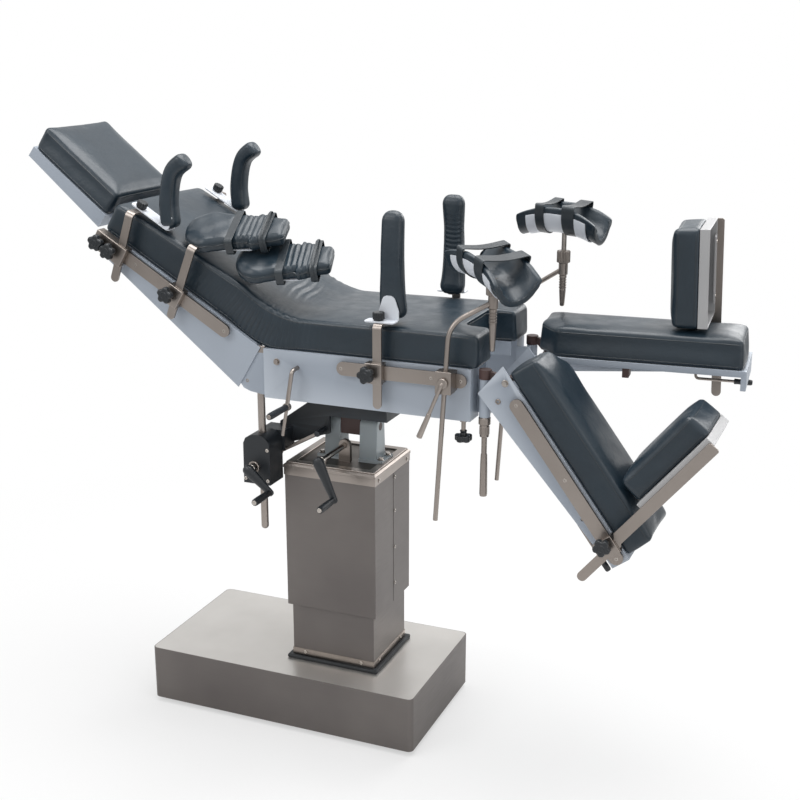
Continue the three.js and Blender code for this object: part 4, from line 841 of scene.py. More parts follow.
@dataclass
class Studio:
    """The camera, the lamps, the floor and the white surroundings."""

    camera_place: Point = (1.4477, -3.2609, 2.0272)
    camera_turn: Point = (90.0 - 16.24, 0.0, 22.64)
    lens: float = 58.34
    sensor: float = 36.0
    floor_size: float = 60.0
    world_strength: float = 0.4

    def build(self) -> None:
        """Sets the whole studio up."""
        self._camera()
        self._world()
        self._floor()
        self._lamp("key", (-2.6, -3.4, 4.2), (0.0, 0.0, 1.1), 2.6, 62.0)
        self._lamp("top", (0.3, 0.4, 4.8), (0.0, 0.0, 1.0), 3.4, 185.0)
        self._lamp("fill", (4.4, -2.2, 2.2), (0.2, 0.0, 0.9), 2.4, 20.0)
        self._lamp("rim", (1.6, 4.2, 3.2), (0.0, 0.0, 1.1), 2.4, 62.0)
        bpy.context.scene.view_settings.view_transform = "Standard"

    def _camera(self) -> None:
        """The camera at the photograph's viewing angle."""
        data = bpy.data.cameras.new("camera")
        data.lens, data.sensor_width = self.lens, self.sensor
        camera = linked("camera", data)
        camera.location = self.camera_place
        camera.rotation_euler = [math.radians(a) for a in self.camera_turn]
        bpy.context.scene.camera = camera

    def _world(self) -> None:
        """White to the camera and in reflections, softer on the object."""
        world = bpy.data.worlds.new("studio")
        bpy.context.scene.world = world
        world.use_nodes = True
        tree = world.node_tree
        background = tree.nodes["Background"]
        background.inputs["Color"].default_value = (1.0, 1.0, 1.0, 1.0)
        path = tree.nodes.new("ShaderNodeLightPath")
        seen = path.outputs["Is Camera Ray"]
        for ray in ("Is Transmission Ray", "Is Glossy Ray"):
            either = tree.nodes.new("ShaderNodeMath")
            either.operation = "MAXIMUM"
            tree.links.new(seen, either.inputs[0])
            tree.links.new(path.outputs[ray], either.inputs[1])
            seen = either.outputs[0]
        strength = tree.nodes.new("ShaderNodeMapRange")
        strength.inputs["To Min"].default_value = self.world_strength
        strength.inputs["To Max"].default_value = 1.0
        tree.links.new(seen, strength.inputs["Value"])
        tree.links.new(strength.outputs["Result"], background.inputs["Strength"])

    def _floor(self) -> None:
        """A pale floor that keeps the table's shadow and turns white away from it."""
        bpy.ops.object.select_all(action="DESELECT")
        bpy.ops.mesh.primitive_plane_add(size=self.floor_size)
        floor = bpy.context.active_object
        floor.name = "studio_floor"
        board = NodeBoard("studio_floor")
        board.shader.inputs["Base Color"].default_value = (0.9, 0.9, 0.9, 1.0)
        board.shader.inputs["Roughness"].default_value = 0.9
        board.shader.inputs["Specular IOR Level"].default_value = 0.0
        white = board.node("ShaderNodeEmission", {"Strength": 1.0})
        length = board.node("ShaderNodeVectorMath", {0: board.coordinates}, operation="LENGTH")
        far = board.ranged(length.outputs["Value"], 0.6, 2.6, 0.55, 1.0)
        path = board.node("ShaderNodeLightPath")
        seen = board.node("ShaderNodeMath", {0: path.outputs["Is Camera Ray"], 1: far}, operation="MULTIPLY")
        mix = board.node("ShaderNodeMixShader", {0: seen.outputs[0], 1: board.shader.outputs["BSDF"],
                                                 2: white.outputs["Emission"]})
        output = next(n for n in board.tree.nodes if n.type == "OUTPUT_MATERIAL")
        board.link(mix.outputs["Shader"], output.inputs["Surface"])
        floor.data.materials.append(board.material)

    @staticmethod
    def _lamp(name: str, place: Point, target: Point, size: float, power: float) -> None:
        """One soft square lamp aimed at a point."""
        data = bpy.data.lights.new(name, "AREA")
        data.size, data.energy = size, power
        lamp = linked(name, data)
        lamp.location = place
        lamp.rotation_euler = (Vector(target) - Vector(place)).to_track_quat("-Z", "Y").to_euler()


def dressed(node: str, name: str, body: str, finish: Finish, width: float, segments: int = 3) -> Object:
    """A CAD node with softened edges and a finish, under a name of its own."""
    return Piece.copy_of(node).soften(width, segments).finish(name, body, finish, [node])


# Small parts


@dataclass
class Shop(Finishes):
    """The finishes, with the screws, bolts and star knobs that are modelled once and copied."""

    knob_radius: float = 23.5
    knob_thickness: float = 18.0
    lobes: int = 5
    stem: float = 12.0

    def __post_init__(self) -> None:
        """Builds the finishes and models the masters."""
        super().__init__()
        self._screw = Piece.turned([(0.0, 0.9), (2.3, 0.9), (2.3, 2.7), (4.7, 2.7), (5.5, 2.0), (5.6, 0.0),
                                    (0.0, 0.0)], 24)
        self._bolt = self._hex_bolt()
        self._knob = self._star_knob()

    @staticmethod
    def _hex_bolt() -> Piece:
        """A hexagon head on its washer."""
        washer = Piece.turned([(0, 0), (9.5, 0), (9.5, 1.4), (8.8, 1.9), (0, 1.9)], 28)
        head = Piece.rod((0, 0, 1.8), (0, 0, 8.0), 7.2, sides=6).soften(0.8, 2)
        return washer.with_all(head)

    def _star_knob(self) -> Piece:
        """A lobed knob with a round cap, its stem along +Z from the origin."""
        low, high = self.stem, self.stem + self.knob_thickness
        steps = self.lobes * 12
        outline = []
        for i in range(steps):
            angle = 2 * math.pi * i / steps
            radius = self.knob_radius - 5.5 * (0.5 - 0.5 * math.cos(angle * self.lobes)) ** 2
            outline.append((radius * math.cos(angle), radius * math.sin(angle)))
        head = Piece.plate(outline, Axis.Z, low, high)
        head.round_edges(5.0, 5, lambda m, w: abs(m.z - high) < 0.1 and abs(w.z) < 0.1)
        head.round_edges(3.0, 3, lambda m, w: abs(m.z - low) < 0.1 and abs(w.z) < 0.1)
        cap = Piece.turned([(0, high - 3), (10.5, high - 3), (10.5, high + 0.2), (9.4, high + 1.4),
                            (7.6, high + 1.4), (7.0, high + 0.6), (0, high + 0.6)], 32)
        neck = Piece.turned([(0, 0), (9.0, 0), (9.6, 2.0), (8.0, 5.0), (9.5, low + 1), (0, low + 1)], 28)
        return head.with_all(neck, cap)

    def screws(self, name: str, body: str, place: Matrix, points: Sequence[Point], way: Point = (0, 1, 0),
               finish: Finish | None = None, bolt: bool = False) -> Object:
        """A row of screws or bolts that stand out of a face, joined as one piece."""
        aim = Vector(way).to_track_quat("Z", "Y").to_matrix().to_4x4()
        master = self._bolt if bolt else self._screw
        copies = [master.duplicate().put(place @ shift(*p) @ aim) for p in points]
        row = copies[0].with_all(*copies[1:]) if len(copies) > 1 else copies[0]
        return row.finish(name, body, finish or self.chrome, slot=POLISHED)

    def knob(self, name: str, body: str, place: Matrix, point: Point, way: Point = (0, 1, 0)) -> Object:
        """A star knob on its stem."""
        aim = Vector(way).to_track_quat("Z", "Y").to_matrix().to_4x4()
        return self._knob.duplicate().put(place @ shift(*point) @ aim).finish(name, body, self.plastic)

    def put_away(self) -> None:
        """Removes the masters once every copy is made."""
        for master in (self._screw, self._bolt, self._knob):
            bpy.data.objects.remove(master.obj)


# Base, column and drives


@dataclass
class BaseAndColumn:
    """The base, its feet, the telescoping column and the brackets on its top."""

    shop: Shop
    base_top: float = 182.0
    feet: tuple[float, float, float, float] = (-586.5, 151.5, -152.8, 189.2)
    inner_half: Pair = (132.0, 118.0)
    outer_half: Pair = (143.0, 128.0)
    outer_low: float = 358.0
    outer_high: float = 790.0
    cap_top: float = 803.0
    skirt: float = 22.0
    band: float = 20.0
    seam_y: float = 6.0

    @property
    def place(self) -> Matrix:
        """The column's axes at the floor."""
        return shift(SHIFT_X, MID_Y, 0)

    def build(self) -> None:
        """Builds the base, the shells, the top and the brackets."""
        self._base()
        self._shells()
        self._top()
        self._brackets()
        for node, look in (("base_frame", self.shop.casting), ("lift_cylinder", self.shop.frame_paint),
                           ("lift_ram", self.shop.chrome)):
            dress_node(node, look)

    def _base(self) -> None:
        """The base cover with soft edges, a top sheet painted paler as light from above, four white feet and
        the rubber gasket.
        """
        steel = self.shop.column
        dressed("base_cover", "base_cover_steel", "base", steel, 2.4)
        # Painted light: a thin paler sheet on the cover's top stands for the top lit from above; the cover is
        # one steel.
        top = Piece.plate(round_box(-559.5, 297.5, -230.5, 230.5, 14), Axis.Z, 181.8, 182.25)
        top.minus(Piece.block(-134, 134, -120, 120, 170, 190)).put(self.place)
        top.finish("base_top_painted_light", "base", self.shop.top_light_steel)
        profile = [(0, 0), (33, 0), (35, 1.8), (35, 6.5), (33, 8.4), (27, 9), (25.5, 13.4), (0, 13.4)]
        foot = Piece.turned(profile)
        x0, x1, y0, y1 = self.feet
        copies = [foot.duplicate().put(shift(x, y, 0)) for x in (x0, x1) for y in (y0, y1)]
        bpy.data.objects.remove(foot.obj)
        copies[0].with_all(*copies[1:]).finish("levelling_feet", "base", self.shop.foot)
        dressed("column_gasket", "gasket_rubber", "base", self.shop.rubber, 4.5)

    def _sleeve(self, half: Pair, proud: float, low: float, high: float) -> Piece:
        """A square sleeve round a column shell."""
        hx, hy = half[0] + proud, half[1] + proud
        outer = Piece.block(-hx, hx, -hy, hy, low, high)
        outer.minus(Piece.block(-half[0] + 1, half[0] - 1, -half[1] + 1, half[1] - 1, low - 5, high + 5))
        return outer.soften(0.5, 2).put(self.place)

    def _shells(self) -> None:
        """Both column shells, the bright band at the foot, the seams and the skirt under the cap."""
        shop = self.shop
        hx, hy = self.inner_half
        dressed("inner_column_shell", "inner_shell_steel", "base", shop.column, 2.0)
        low = self.base_top + 12.2
        self._sleeve(self.inner_half, 1.6, low, low + self.band).finish("column_foot_band", "base",
                                                                       shop.steel)
        screw_z = low + self.band / 2
        shop.screws("column_foot_screws_front", "base", self.place,
                    [(-hx + 40, -hy - 1.4, screw_z), (hx - 40, -hy - 1.4, screw_z)], (0, -1, 0))
        shop.screws("column_foot_screws_side", "base", self.place,
                    [(hx + 1.4, -hy + 36, screw_z), (hx + 1.4, hy - 36, screw_z)], (1, 0, 0))
        dressed("outer_column_shell", "outer_shell_steel", "column", shop.column, 2.0)
        hx, hy = self.outer_half
        for name, sign in (("foot_side", 1), ("head_side", -1)):
            x0, x1 = sorted((sign * (hx - 0.6), sign * (hx + 0.9)))
            panel = Piece.block(x0, x1, self.seam_y, hy - 1.5, self.outer_low + 2,
                                self.outer_high - self.skirt - 1)
            panel.soften(0.4, 2).put(self.place)
            panel.finish(f"column_seam_panel_{name}", "column", shop.column)
            heights = [self.outer_low + part for part in (60, 175, 290, 395)]
            shop.screws(f"column_seam_rivets_{name}", "column", self.place,
                        [(sign * (hx + 0.7), self.seam_y + 7, z) for z in heights], (sign, 0, 0))
        self._sleeve(self.outer_half, 1.7, self.outer_high - self.skirt, self.outer_high - 0.4).finish(
            "column_skirt", "column", shop.steel)
        top = self.outer_high - self.skirt / 2
        shop.screws("column_skirt_screws", "column", self.place,
                    [(hx + 1.5, -hy + 26, top), (hx + 1.5, hy - 22, top)], (1, 0, 0))

    def _top(self) -> None:
        """The cap with its raised rim, and its floor in a darker steel as painted shade in the recess."""
        shop = self.shop
        dressed("column_top_plate", "column_cap", "column", shop.steel, 1.6, 2)
        hx, hy = self.outer_half[0] - 3.5, self.outer_half[1] - 3.5
        rim = Piece.block(-hx, hx, -hy, hy, self.cap_top - 1, self.cap_top + 4.5)
        rim.minus(Piece.block(-hx + 24, hx - 24, -hy + 24, hy - 24, self.cap_top - 3, self.cap_top + 9))
        rim.soften(2.0, 3).put(self.place).finish("column_cap_rim", "column", shop.steel)
        # Painted shade: the floor inside the rim is a darker steel, standing in for the recess's shade.
        floor = Piece.plate(round_box(-hx + 20, hx - 20, -hy + 20, hy - 20, 4), Axis.Z, self.cap_top - 1,
                            self.cap_top + 0.25)
        floor.put(self.place).finish("column_cap_floor", "column", shop.recess_shade_steel)

    def _brackets(self) -> None:
        """The two trunnion brackets, their bolts and the cross head between them."""
        shop = self.shop
        foot_z = self.cap_top + 10.3
        for name, x in (("left", -69.0), ("right", 117.0)):
            node = f"trunnion_bracket_{name}"
            dressed(node, f"{node}_painted", "column", shop.bracket_paint, 2.0)
            shop.screws(f"{node}_bolts", "column", self.place, [(x, -26, foot_z), (x, 26, foot_z)], (0, 0, 1),
                        bolt=True)
        dressed("cross_head", "cross_head_cast", "cradle", shop.brown, 3.5)


@dataclass
class HandCrank:
    """A black hand crank: bulbous arm, round grip and bright shaft."""

    shop: Shop
    name: str
    node: str
    body: str
    place: Place
    hub_at: float
    arm_length: float
    angle: float
    shaft_radius: float
    shaft_end: float
    grip_length: float = 88.0
    grip_radius: float = 10.0

    def build(self) -> None:
        """Builds the arm with its grip, then the shaft with the bright cap."""
        angle = math.radians(self.angle)
        way = Vector((math.sin(angle), 0, -math.cos(angle)))
        tip = way * self.arm_length
        reach = self.arm_length
        profile = [(0, -16), (8, -15), (13.4, -10.6), (16.4, -3.5), (17, 4), (16, 20), (13.6, reach * 0.5),
                   (11.2, reach * 0.82), (10.8, reach - 2), (9.8, reach + 6), (6, reach + 10.6),
                   (0, reach + 11.6)]
        arm = Piece.turned(profile, 36)
        flatten = Matrix.Diagonal((1, 0.74, 1, 1))
        aim = Matrix((Vector((0, 1, 0)).cross(way), Vector((0, 1, 0)), way)).transposed().to_4x4()
        arm.put(shift(0, -self.hub_at, 0) @ aim @ flatten)
        grip = Piece.turned([(0, 0), (8.4, 0), (9.4, 2), (9.2, 14), (10.4, self.grip_length * 0.45),
                             (self.grip_radius + 0.6, self.grip_length * 0.75), (10.2, self.grip_length - 5),
                             (8.8, self.grip_length - 0.6), (0, self.grip_length)], 32)
        out = turn("X", 90)
        grip.put(shift(tip.x, -self.hub_at - 4, tip.z) @ out)
        arm.with_all(grip).put(self.place.matrix).finish(self.name, self.body, self.shop.plastic, [self.node])
        shaft = Piece.rod((0, -self.hub_at - 6, 0), (0, self.shaft_end, 0), self.shaft_radius)
        collar = Piece.turned([(0, 0), (13, 0), (13.8, 1), (13.8, 9), (13, 10), (0, 10)], 32)
        collar.put(shift(0, -self.hub_at + 22, 0) @ out)
        cap = Piece.turned([(0, -1), (7.0, -1), (7.0, 0.8), (5.6, 2.2), (0, 2.8)], 28)
        cap.put(shift(tip.x, -self.hub_at - 4 - self.grip_length, tip.z) @ out)
        shaft.with_all(collar, cap).put(self.place.matrix).finish(
            f"{self.name}_shaft", self.body, self.shop.chrome)


@dataclass
class TiltDrive:
    """The tilt arm, the gearbox, the vertical screw and the two cranks beside the column."""

    shop: Shop
    axis_z: float = 906.0
    gear: tuple[float, float, float] = (-207.0, -190.0, -104.0)
    screw_place: Pair = (-200.0, -150.0)
    screw_low: float = -306.0
    screw_high: float = 26.0

    def build(self) -> None:
        """Builds the castings, the screw, the stay and the cranks."""
        shop, place = self.shop, shift(SHIFT_X, MID_Y, self.axis_z)
        dressed("tilt_arm", "tilt_arm_cast", "cradle", shop.casting, 2.6)
        dressed("gearbox_housing", "gearbox_cast", "cradle", shop.casting, 4.5)
        gx, gy, gz = self.gear
        boss = Piece.turned([(8.8, 0), (17.6, 0), (17.6, 6.5), (16.2, 8.2), (11.5, 8.2), (10, 6.6),
                             (8.8, 6.6), (8.8, 0)], 40)
        boss.put(place @ shift(gx, gy + 0.5, gz) @ turn("X", 90))
        boss.finish("gearbox_boss", "cradle", shop.steel)
        self.shop.screws("gearbox_screws", "cradle", place,
                         [(-236, gy - 0.2, -142), (-164, gy - 0.2, -142), (-164, gy - 0.2, -50)], (0, -1, 0))
        stay = Piece.tube(filleted([(-172, -100, -80), (-168, -100, -78), (-40, -100, -7)], 3), 5.6)
        stay.put(place).finish("stay_rod", "cradle", shop.steel)
        self._screw(place)
        HandCrank(shop, "lateral_crank", "lateral_tilt_crank", "lateral_crank", Place(-72.471, MID_Y, 853.0),
                  222.0, 112.0, 24.0, 8.0, -30.0).build()
        HandCrank(shop, "tilt_crank_black", "tilt_crank", "tilt_crank", Place(-293.471, MID_Y, 802.0), 226.0,
                  88.0, 50.0, 8.0, -170.3).build()

    def _screw(self, place: Matrix) -> None:
        """The vertical screw: the CAD's slotted eye on a smooth round shaft with a turned end."""
        x, y = self.screw_place
        eye = Piece.copy_of("tilt_screw")
        neck = place @ Vector((x * MM, y * MM, self.screw_high * MM))
        eye.cut_off(neck, Vector((0, 0, -1))).soften(1.4, 2)
        length = self.screw_high - self.screw_low
        shaft = Piece.turned([(0, 0), (5.5, 0.6), (9.2, 3.5), (10.9, 8), (10.9, length + 14),
                              (0, length + 14)])
        shaft.put(place @ shift(x, y, self.screw_low))
        eye.with_all(shaft).finish("tilt_screw_steel", "tilt_screw", self.shop.steel, ["tilt_screw"],
                                   slot=POLISHED)


@dataclass
class BackCrank:
    """The thin crank of the back section, its arm running on as a tail below the grip."""

    shop: Shop
    place: Place = field(default_factory=lambda: Place(-127.471, MID_Y, 1122.0))
    hub_y: float = -262.0
    inside_y: float = -170.0
    angle: float = -10.0
    arm_length: float = 106.0
    tail: float = 86.0
    grip_length: float = 104.0

    def _along(self, length: float) -> Vector:
        """A point on the arm, that far from the shaft."""
        angle = math.radians(self.angle)
        return Vector((math.sin(angle) * length, self.hub_y, -math.cos(angle) * length))

    def build(self) -> None:
        """Builds the bent rod with its collar, then the grip."""
        tip, end = self._along(self.arm_length), self._along(self.arm_length + self.tail)
        rod = Piece.tube(filleted([(0, self.inside_y, 0), (0, self.hub_y, 0), tuple(tip)], 14), 6.0)
        tail = Piece.rod(tuple(tip), tuple(end), 5.0, 4.4, 20).soften(1.6, 3)
        out = turn("X", 90)
        collar = Piece.turned([(0, 0), (10.2, 0), (11.2, 1.2), (11.2, 13), (10.2, 14), (0, 14)], 32)
        collar.put(shift(tip.x, self.hub_y + 7, tip.z) @ out)
        cap = Piece.turned([(0, -1), (6.2, -1), (6.2, 0.8), (5.0, 2.0), (0, 2.6)], 28)
        cap.put(shift(tip.x, self.hub_y - self.grip_length, tip.z) @ out)
        rod.with_all(tail, collar, cap).put(self.place.matrix).finish(
            "back_crank_rod", "back_crank", self.shop.steel, ["back_crank"])
        grip = Piece.turned([(0, 0), (8.4, 0), (9.0, 2), (8.6, 12), (9.4, 50), (9.6, 88), (8.4, 96.5),
                             (0, 97)], 32)
        grip.put(self.place.matrix @ shift(tip.x, self.hub_y - 7, tip.z) @ out)
        grip.finish("back_crank_grip", "back_crank", self.shop.plastic)


def dress_node(node: str, finish: Finish) -> None:
    """Gives a CAD node that stays as it is a better material."""
    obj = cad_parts[node]
    for slot in obj.material_slots:
        slot.material = finish.material
    if not obj.material_slots:
        obj.data.materials.append(finish.material)


@dataclass
class SideRail:
    """An accessory rail: a bar with round ends on three spacers, held by countersunk screws."""

    shop: Shop
    name: str
    body: str
    place: Place
    start: float
    end: float
    centre: float
    panel: float
    spacers: tuple[float, ...]
    stands_for: tuple[str, ...] = ()
    half: float = 18.9
    standoff: float = 8.0
    thickness: float = 8.0

    def build(self) -> None:
        """Builds the bar with its spacers, then the screws."""
        near = self.panel + self.standoff
        outline = round_box(self.start, self.end, self.centre - self.half, self.centre + self.half,
                            self.half - 0.2, 10)
        bar = Piece.plate(outline, Axis.Y, near, near + self.thickness).soften(0.9, 2, 40)
        posts = [Piece.rod((x, self.panel - 0.2, self.centre), (x, near + 0.5, self.centre), 8.2, sides=24)
                 for x in self.spacers]
        bar.with_all(*posts).put(self.place.matrix).finish(self.name, self.body, self.shop.steel,
                                                           self.stands_for)
        face = near + self.thickness
        self.shop.screws(f"{self.name}_screws", self.body, self.place.matrix,
                         [(x, face - 2.45, self.centre) for x in self.spacers], (0, 1, 0))


@dataclass
class Frames:
    """The sheet-metal frames of the seat, back and head sections with their rails."""

    shop: Shop
    half_width: float = 230.0

    def build(self) -> None:
        """Builds the three frames and the four rails."""
        paint = self.shop.frame_paint
        for node, body in (("seat_frame", "seat"), ("back_frame", "back"), ("head_frame", "head")):
            dressed(node, f"{node}_painted", body, paint, 0.9, 2)
        for side in Side:
            SideRail(self.shop, f"seat_rail_bar_{side.label}", "seat", seat_place(side), 84, 454, -29,
                     self.half_width, (97, 356, 438), (f"seat_rail_{side.label}",)).build()
            SideRail(self.shop, f"back_rail_bar_{side.label}", "back", back_place(side), -508, -100, -19,
                     self.half_width, (-440, -300, -116), (f"back_rail_{side.label}",)).build()
            outline = rounded_polygon([(-144, -1), (-144, -44), (-222, -80), (-203, -58), (-181, -14),
                                       (-165, -1)], 5)
            cheek = Piece.plate(outline, Axis.Y, 221.6, 226.3).soften(0.8, 2, 50)
            cheek.put(seat_place(side).matrix)
            cheek.finish(f"hinge_cheek_{side.label}", "seat", paint)
            hinge = Piece.block(-167, -143, 221.4, 226.4, -16, 5.5).soften(2.2, 3)
            hinge.put(seat_place(side).matrix).finish(f"hinge_block_{side.label}", "seat", self.shop.steel)
            self.shop.screws(f"seat_frame_bolt_{side.label}", "seat", seat_place(side).matrix,
                             [(-104, 229.8, -34)], (0, 1, 0), self.shop.steel, True)
            self.shop.screws(f"nose_plate_screws_{side.label}", "seat", seat_place(side).matrix,
                             [(-200, 224.2, -98), (-129, 224.2, -30), (-129, 224.2, -120)], (0, 1, 0),
                             self.shop.steel)


# Rail clamps and bars


@dataclass(frozen=True)
class BarForm:
    """The clamp and the flat bar of one support, in millimetres in its slide's own axes."""

    below: float
    above: float
    end_y: float | None = None
    lean: float = 0.0
    panel: float = 230.0
    toward: float = 15.0
    away: float = 34.0
    knobs: tuple[float, ...] = (21.0,)
    width: float = 25.0
    thickness: float = 6.0

    @property
    def face(self) -> float:
        """How far out the clamp's front face lies."""
        return self.panel + 34.3

    @property
    def jaws(self) -> Flat:
        """The side of the clamp that grips the rail, from its upper jaw to its lower one."""
        inner, lip, front = self.panel + 2, self.panel + 7.7, self.panel + 16.3
        upper = [(inner, 27.3), (inner, 12), (lip, 12), (lip, 19.3), (front, 19.3)]
        return upper + [(y, -z) for y, z in upper[::-1]]

    @property
    def bar_y(self) -> Pair:
        """The bar's two faces."""
        inner = self.panel + 16.3 + (18.0 - self.thickness) / 2
        return inner, inner + self.thickness


@dataclass
class ClampedBar:
    """A clamp hooked over a rail with its star knobs, and the flat bar that it holds."""

    shop: Shop
    name: str
    node: str
    body: str
    place: Place
    form: BarForm

    def build(self) -> None:
        """Builds the clamp and the bar as one steel piece, then the knobs."""
        form, matrix = self.form, self.place.matrix
        clamp = self._clamp()
        clamp.with_all(self._bar()).put(matrix).finish(self.name, self.body, self.shop.steel, [self.node])
        for number, offset in enumerate(form.knobs, 1):
            self.shop.knob(f"{self.name}_knob_{number}", self.body, matrix, (-offset, form.face - 0.4, 0))

    def _clamp(self) -> Piece:
        """The clamp's jaws round the rail, with a lip where the bar goes in."""
        form = self.form
        profile = [*form.jaws, (form.face, -27.3), (form.face, 27.3)]
        jaws = Piece.plate(profile, Axis.X, -form.away, form.toward).soften(1.7, 3)
        low, high = form.bar_y
        half = form.width / 2 + 2
        lips = [Piece.block(-half, half, low - 2.5, high + 2.5, *sorted((s * 26.5, s * 30))) .soften(0.9, 2)
                for s in (-1, 1)]
        return jaws.with_all(*lips)

    def _bar(self) -> Piece:
        """The bar with a rounded tongue at each end and a rounded bend."""
        form = self.form
        low, high = form.bar_y
        half, end = form.width / 2, form.end_y
        if end is None:
            tongue = arc_points((0, half - form.below), half, 180, 360, 14)
            outline = [(half, 33), (half - 5, 38), (half - 5, form.above - 4), (half - 9, form.above),
                       (-half - 7, form.above), (-half - 11, form.above - 4), (-half - 11, 45), (-half, 34)]
            strip = Piece.plate([*tongue, *outline], Axis.Y, low, high).sheet_edges(0.7)
            return strip.put(turn("Y", -form.lean))
        bend, top = 15.0, form.above
        outer = arc_points((high - bend, top - bend), bend, 0, 90, 8)
        inner = arc_points((high - bend, top - bend), bend - form.thickness, 90, 0, 8)
        profile = [(high, -form.below), *outer, (end, top), (end, top - form.thickness), *inner,
                   (low, -form.below)]
        strip = Piece.plate(profile, Axis.X, -half, half)
        strip.round_edges(half - 0.3, 7, lambda m, w: abs(abs(m.x) - half) < 0.1 and (
            (abs(m.z + form.below) < 0.1 and abs(w.y) > 0.9) or (abs(m.y - end) < 0.1 and abs(w.z) > 0.9)))
        strip.sheet_edges(0.7)
        return strip.put(turn("Y", -form.lean))


def ribbed(radius: float, low: float, high: float, ribs: int = 16, depth: float = 1.3,
           edge: float = 1.6) -> Piece:
    """A round knob or collar with ribs down its side, about Z."""
    steps = ribs * 6
    outline = []
    for i in range(steps):
        angle = 2 * math.pi * i / steps
        out = radius - depth * (0.5 - 0.5 * math.cos(angle * ribs)) ** 2
        outline.append((out * math.cos(angle), out * math.sin(angle)))
    piece = Piece.plate(outline, Axis.Z, low, high)
    return piece.round_edges(edge, 3, lambda m, w: abs(w.z) < 0.1)


# Soft goods


def rounded_polygon(points: Outline, radius: float, steps: int = 5) -> Flat:
    """A closed outline with its corners rounded."""
    loop = [(*points[-1], 0.0), *((u, v, 0.0) for u, v in points), (*points[0], 0.0)]
    return [(p.x, p.y) for p in filleted(loop, radius, steps)[1:-1]]


def upholster(shop: Shop, piece: Piece, seams: Piece, name: str, body: str | None, matrix: Matrix,
              stands_for: Sequence[str] = ()) -> tuple:
    """Sets a cushion and its seams down and finishes both.

    Args:
        shop: The table's shop.
        piece: The cushion.
        seams: Its seams.
        name: The cushion's name.
        body: The body that carries both, or None where they span two and ride on neither.
        matrix: From the cushion's axes to the row frame.
        stands_for: The CAD nodes that the cushion replaces.

    Returns:
        The cushion and the seams as finished objects.
    """
    cushion = piece.put(matrix).finish(name, body, shop.leather, stands_for, 60)
    sewn = seams.put(matrix).finish(f"{name}_seams", body, shop.strap)
    return cushion, sewn


@dataclass
class BentPad:
    """A padded body along a curved path, its section a soft rectangle."""

    path: Sequence[Point]
    across: Point
    width: float
    thickness: float
    corner: float = 13.0
    roll: float = 13.0
    waist: Sequence[float] = (1.0, 1.0, 1.0)
    stuffing: Stuffing = field(default_factory=lambda: Stuffing(voxel=4.2, pressure=5.0, cap=3.0, frames=14))

    def _stations(self) -> tuple[Array, Array, Array]:
        """Middles, out directions and distances along the pad."""
        middles = spline_points(self.path, 61)
        way = np.gradient(middles, axis=0)
        way /= np.linalg.norm(way, axis=1, keepdims=True)
        out = np.cross(way, np.array(self.across, float))
        return middles, out, run_of(middles)

    def _at(self, distance: float) -> tuple[Array, Array, float]:
        """The middle, the out direction and the width's factor that far along the pad."""
        middles, out, run = self._stations()
        middle = np.array([np.interp(distance, run, middles[:, k]) for k in range(3)])
        normal = np.array([np.interp(distance, run, out[:, k]) for k in range(3)])
        share = np.linspace(0, 1, len(self.waist))
        return middle, normal / np.linalg.norm(normal), float(np.interp(distance / run[-1], share,
                                                                        self.waist))

    def foam(self) -> Piece:
        """The foam with both ends rolled."""
        length = self._stations()[2][-1]
        ends = [self.roll * (1 - math.cos(a)) for a in np.radians([0, 22, 45, 67, 90])]
        rings = []
        for distance in [*ends, *np.linspace(self.roll, length - self.roll, 26)[1:-1],
                         *(length - e for e in reversed(ends))]:
            near_end = min(distance, length - distance)
            lack = max(0.0, 1 - near_end / self.roll)
            inset = self.roll * (1 - math.sqrt(max(0.0, 1 - lack ** 2)))
            middle, normal, factor = self._at(distance)
            half, deep = self.width * factor / 2 - inset, self.thickness / 2 - inset * 0.75
            section = round_box(-half, half, -deep, deep, min(self.corner, deep * 0.9, half * 0.9), 5)
            rings.append([middle + np.array(self.across) * u + normal * v for u, v in section])
        return Piece.loft(np.array(rings))

    def covered(self) -> Piece:
        """The pad in its cover."""
        return self.stuffing.swell(self.foam())

    def seams(self, piece: Piece) -> Piece:
        """A seam round each face, near its edge."""
        length = self._stations()[2][-1]
        loops = []
        for face in (-1, 1):
            points = []
            distances = np.linspace(4, length - 4, 48)
            for side, order in ((-1, distances), (1, distances[::-1])):
                for distance in order:
                    middle, normal, factor = self._at(distance)
                    rim = min(1.0, (min(distance, length - distance) + 6) / self.roll)
                    edge = np.array(self.across) * side * (self.width * factor / 2 - 2) * rim
                    points.append(tuple(middle + edge + normal * face * (self.thickness / 2 - 5)))
            loops.append(seam_on(piece, points, 1.1, 0.4))
        return loops[0].with_all(loops[1])


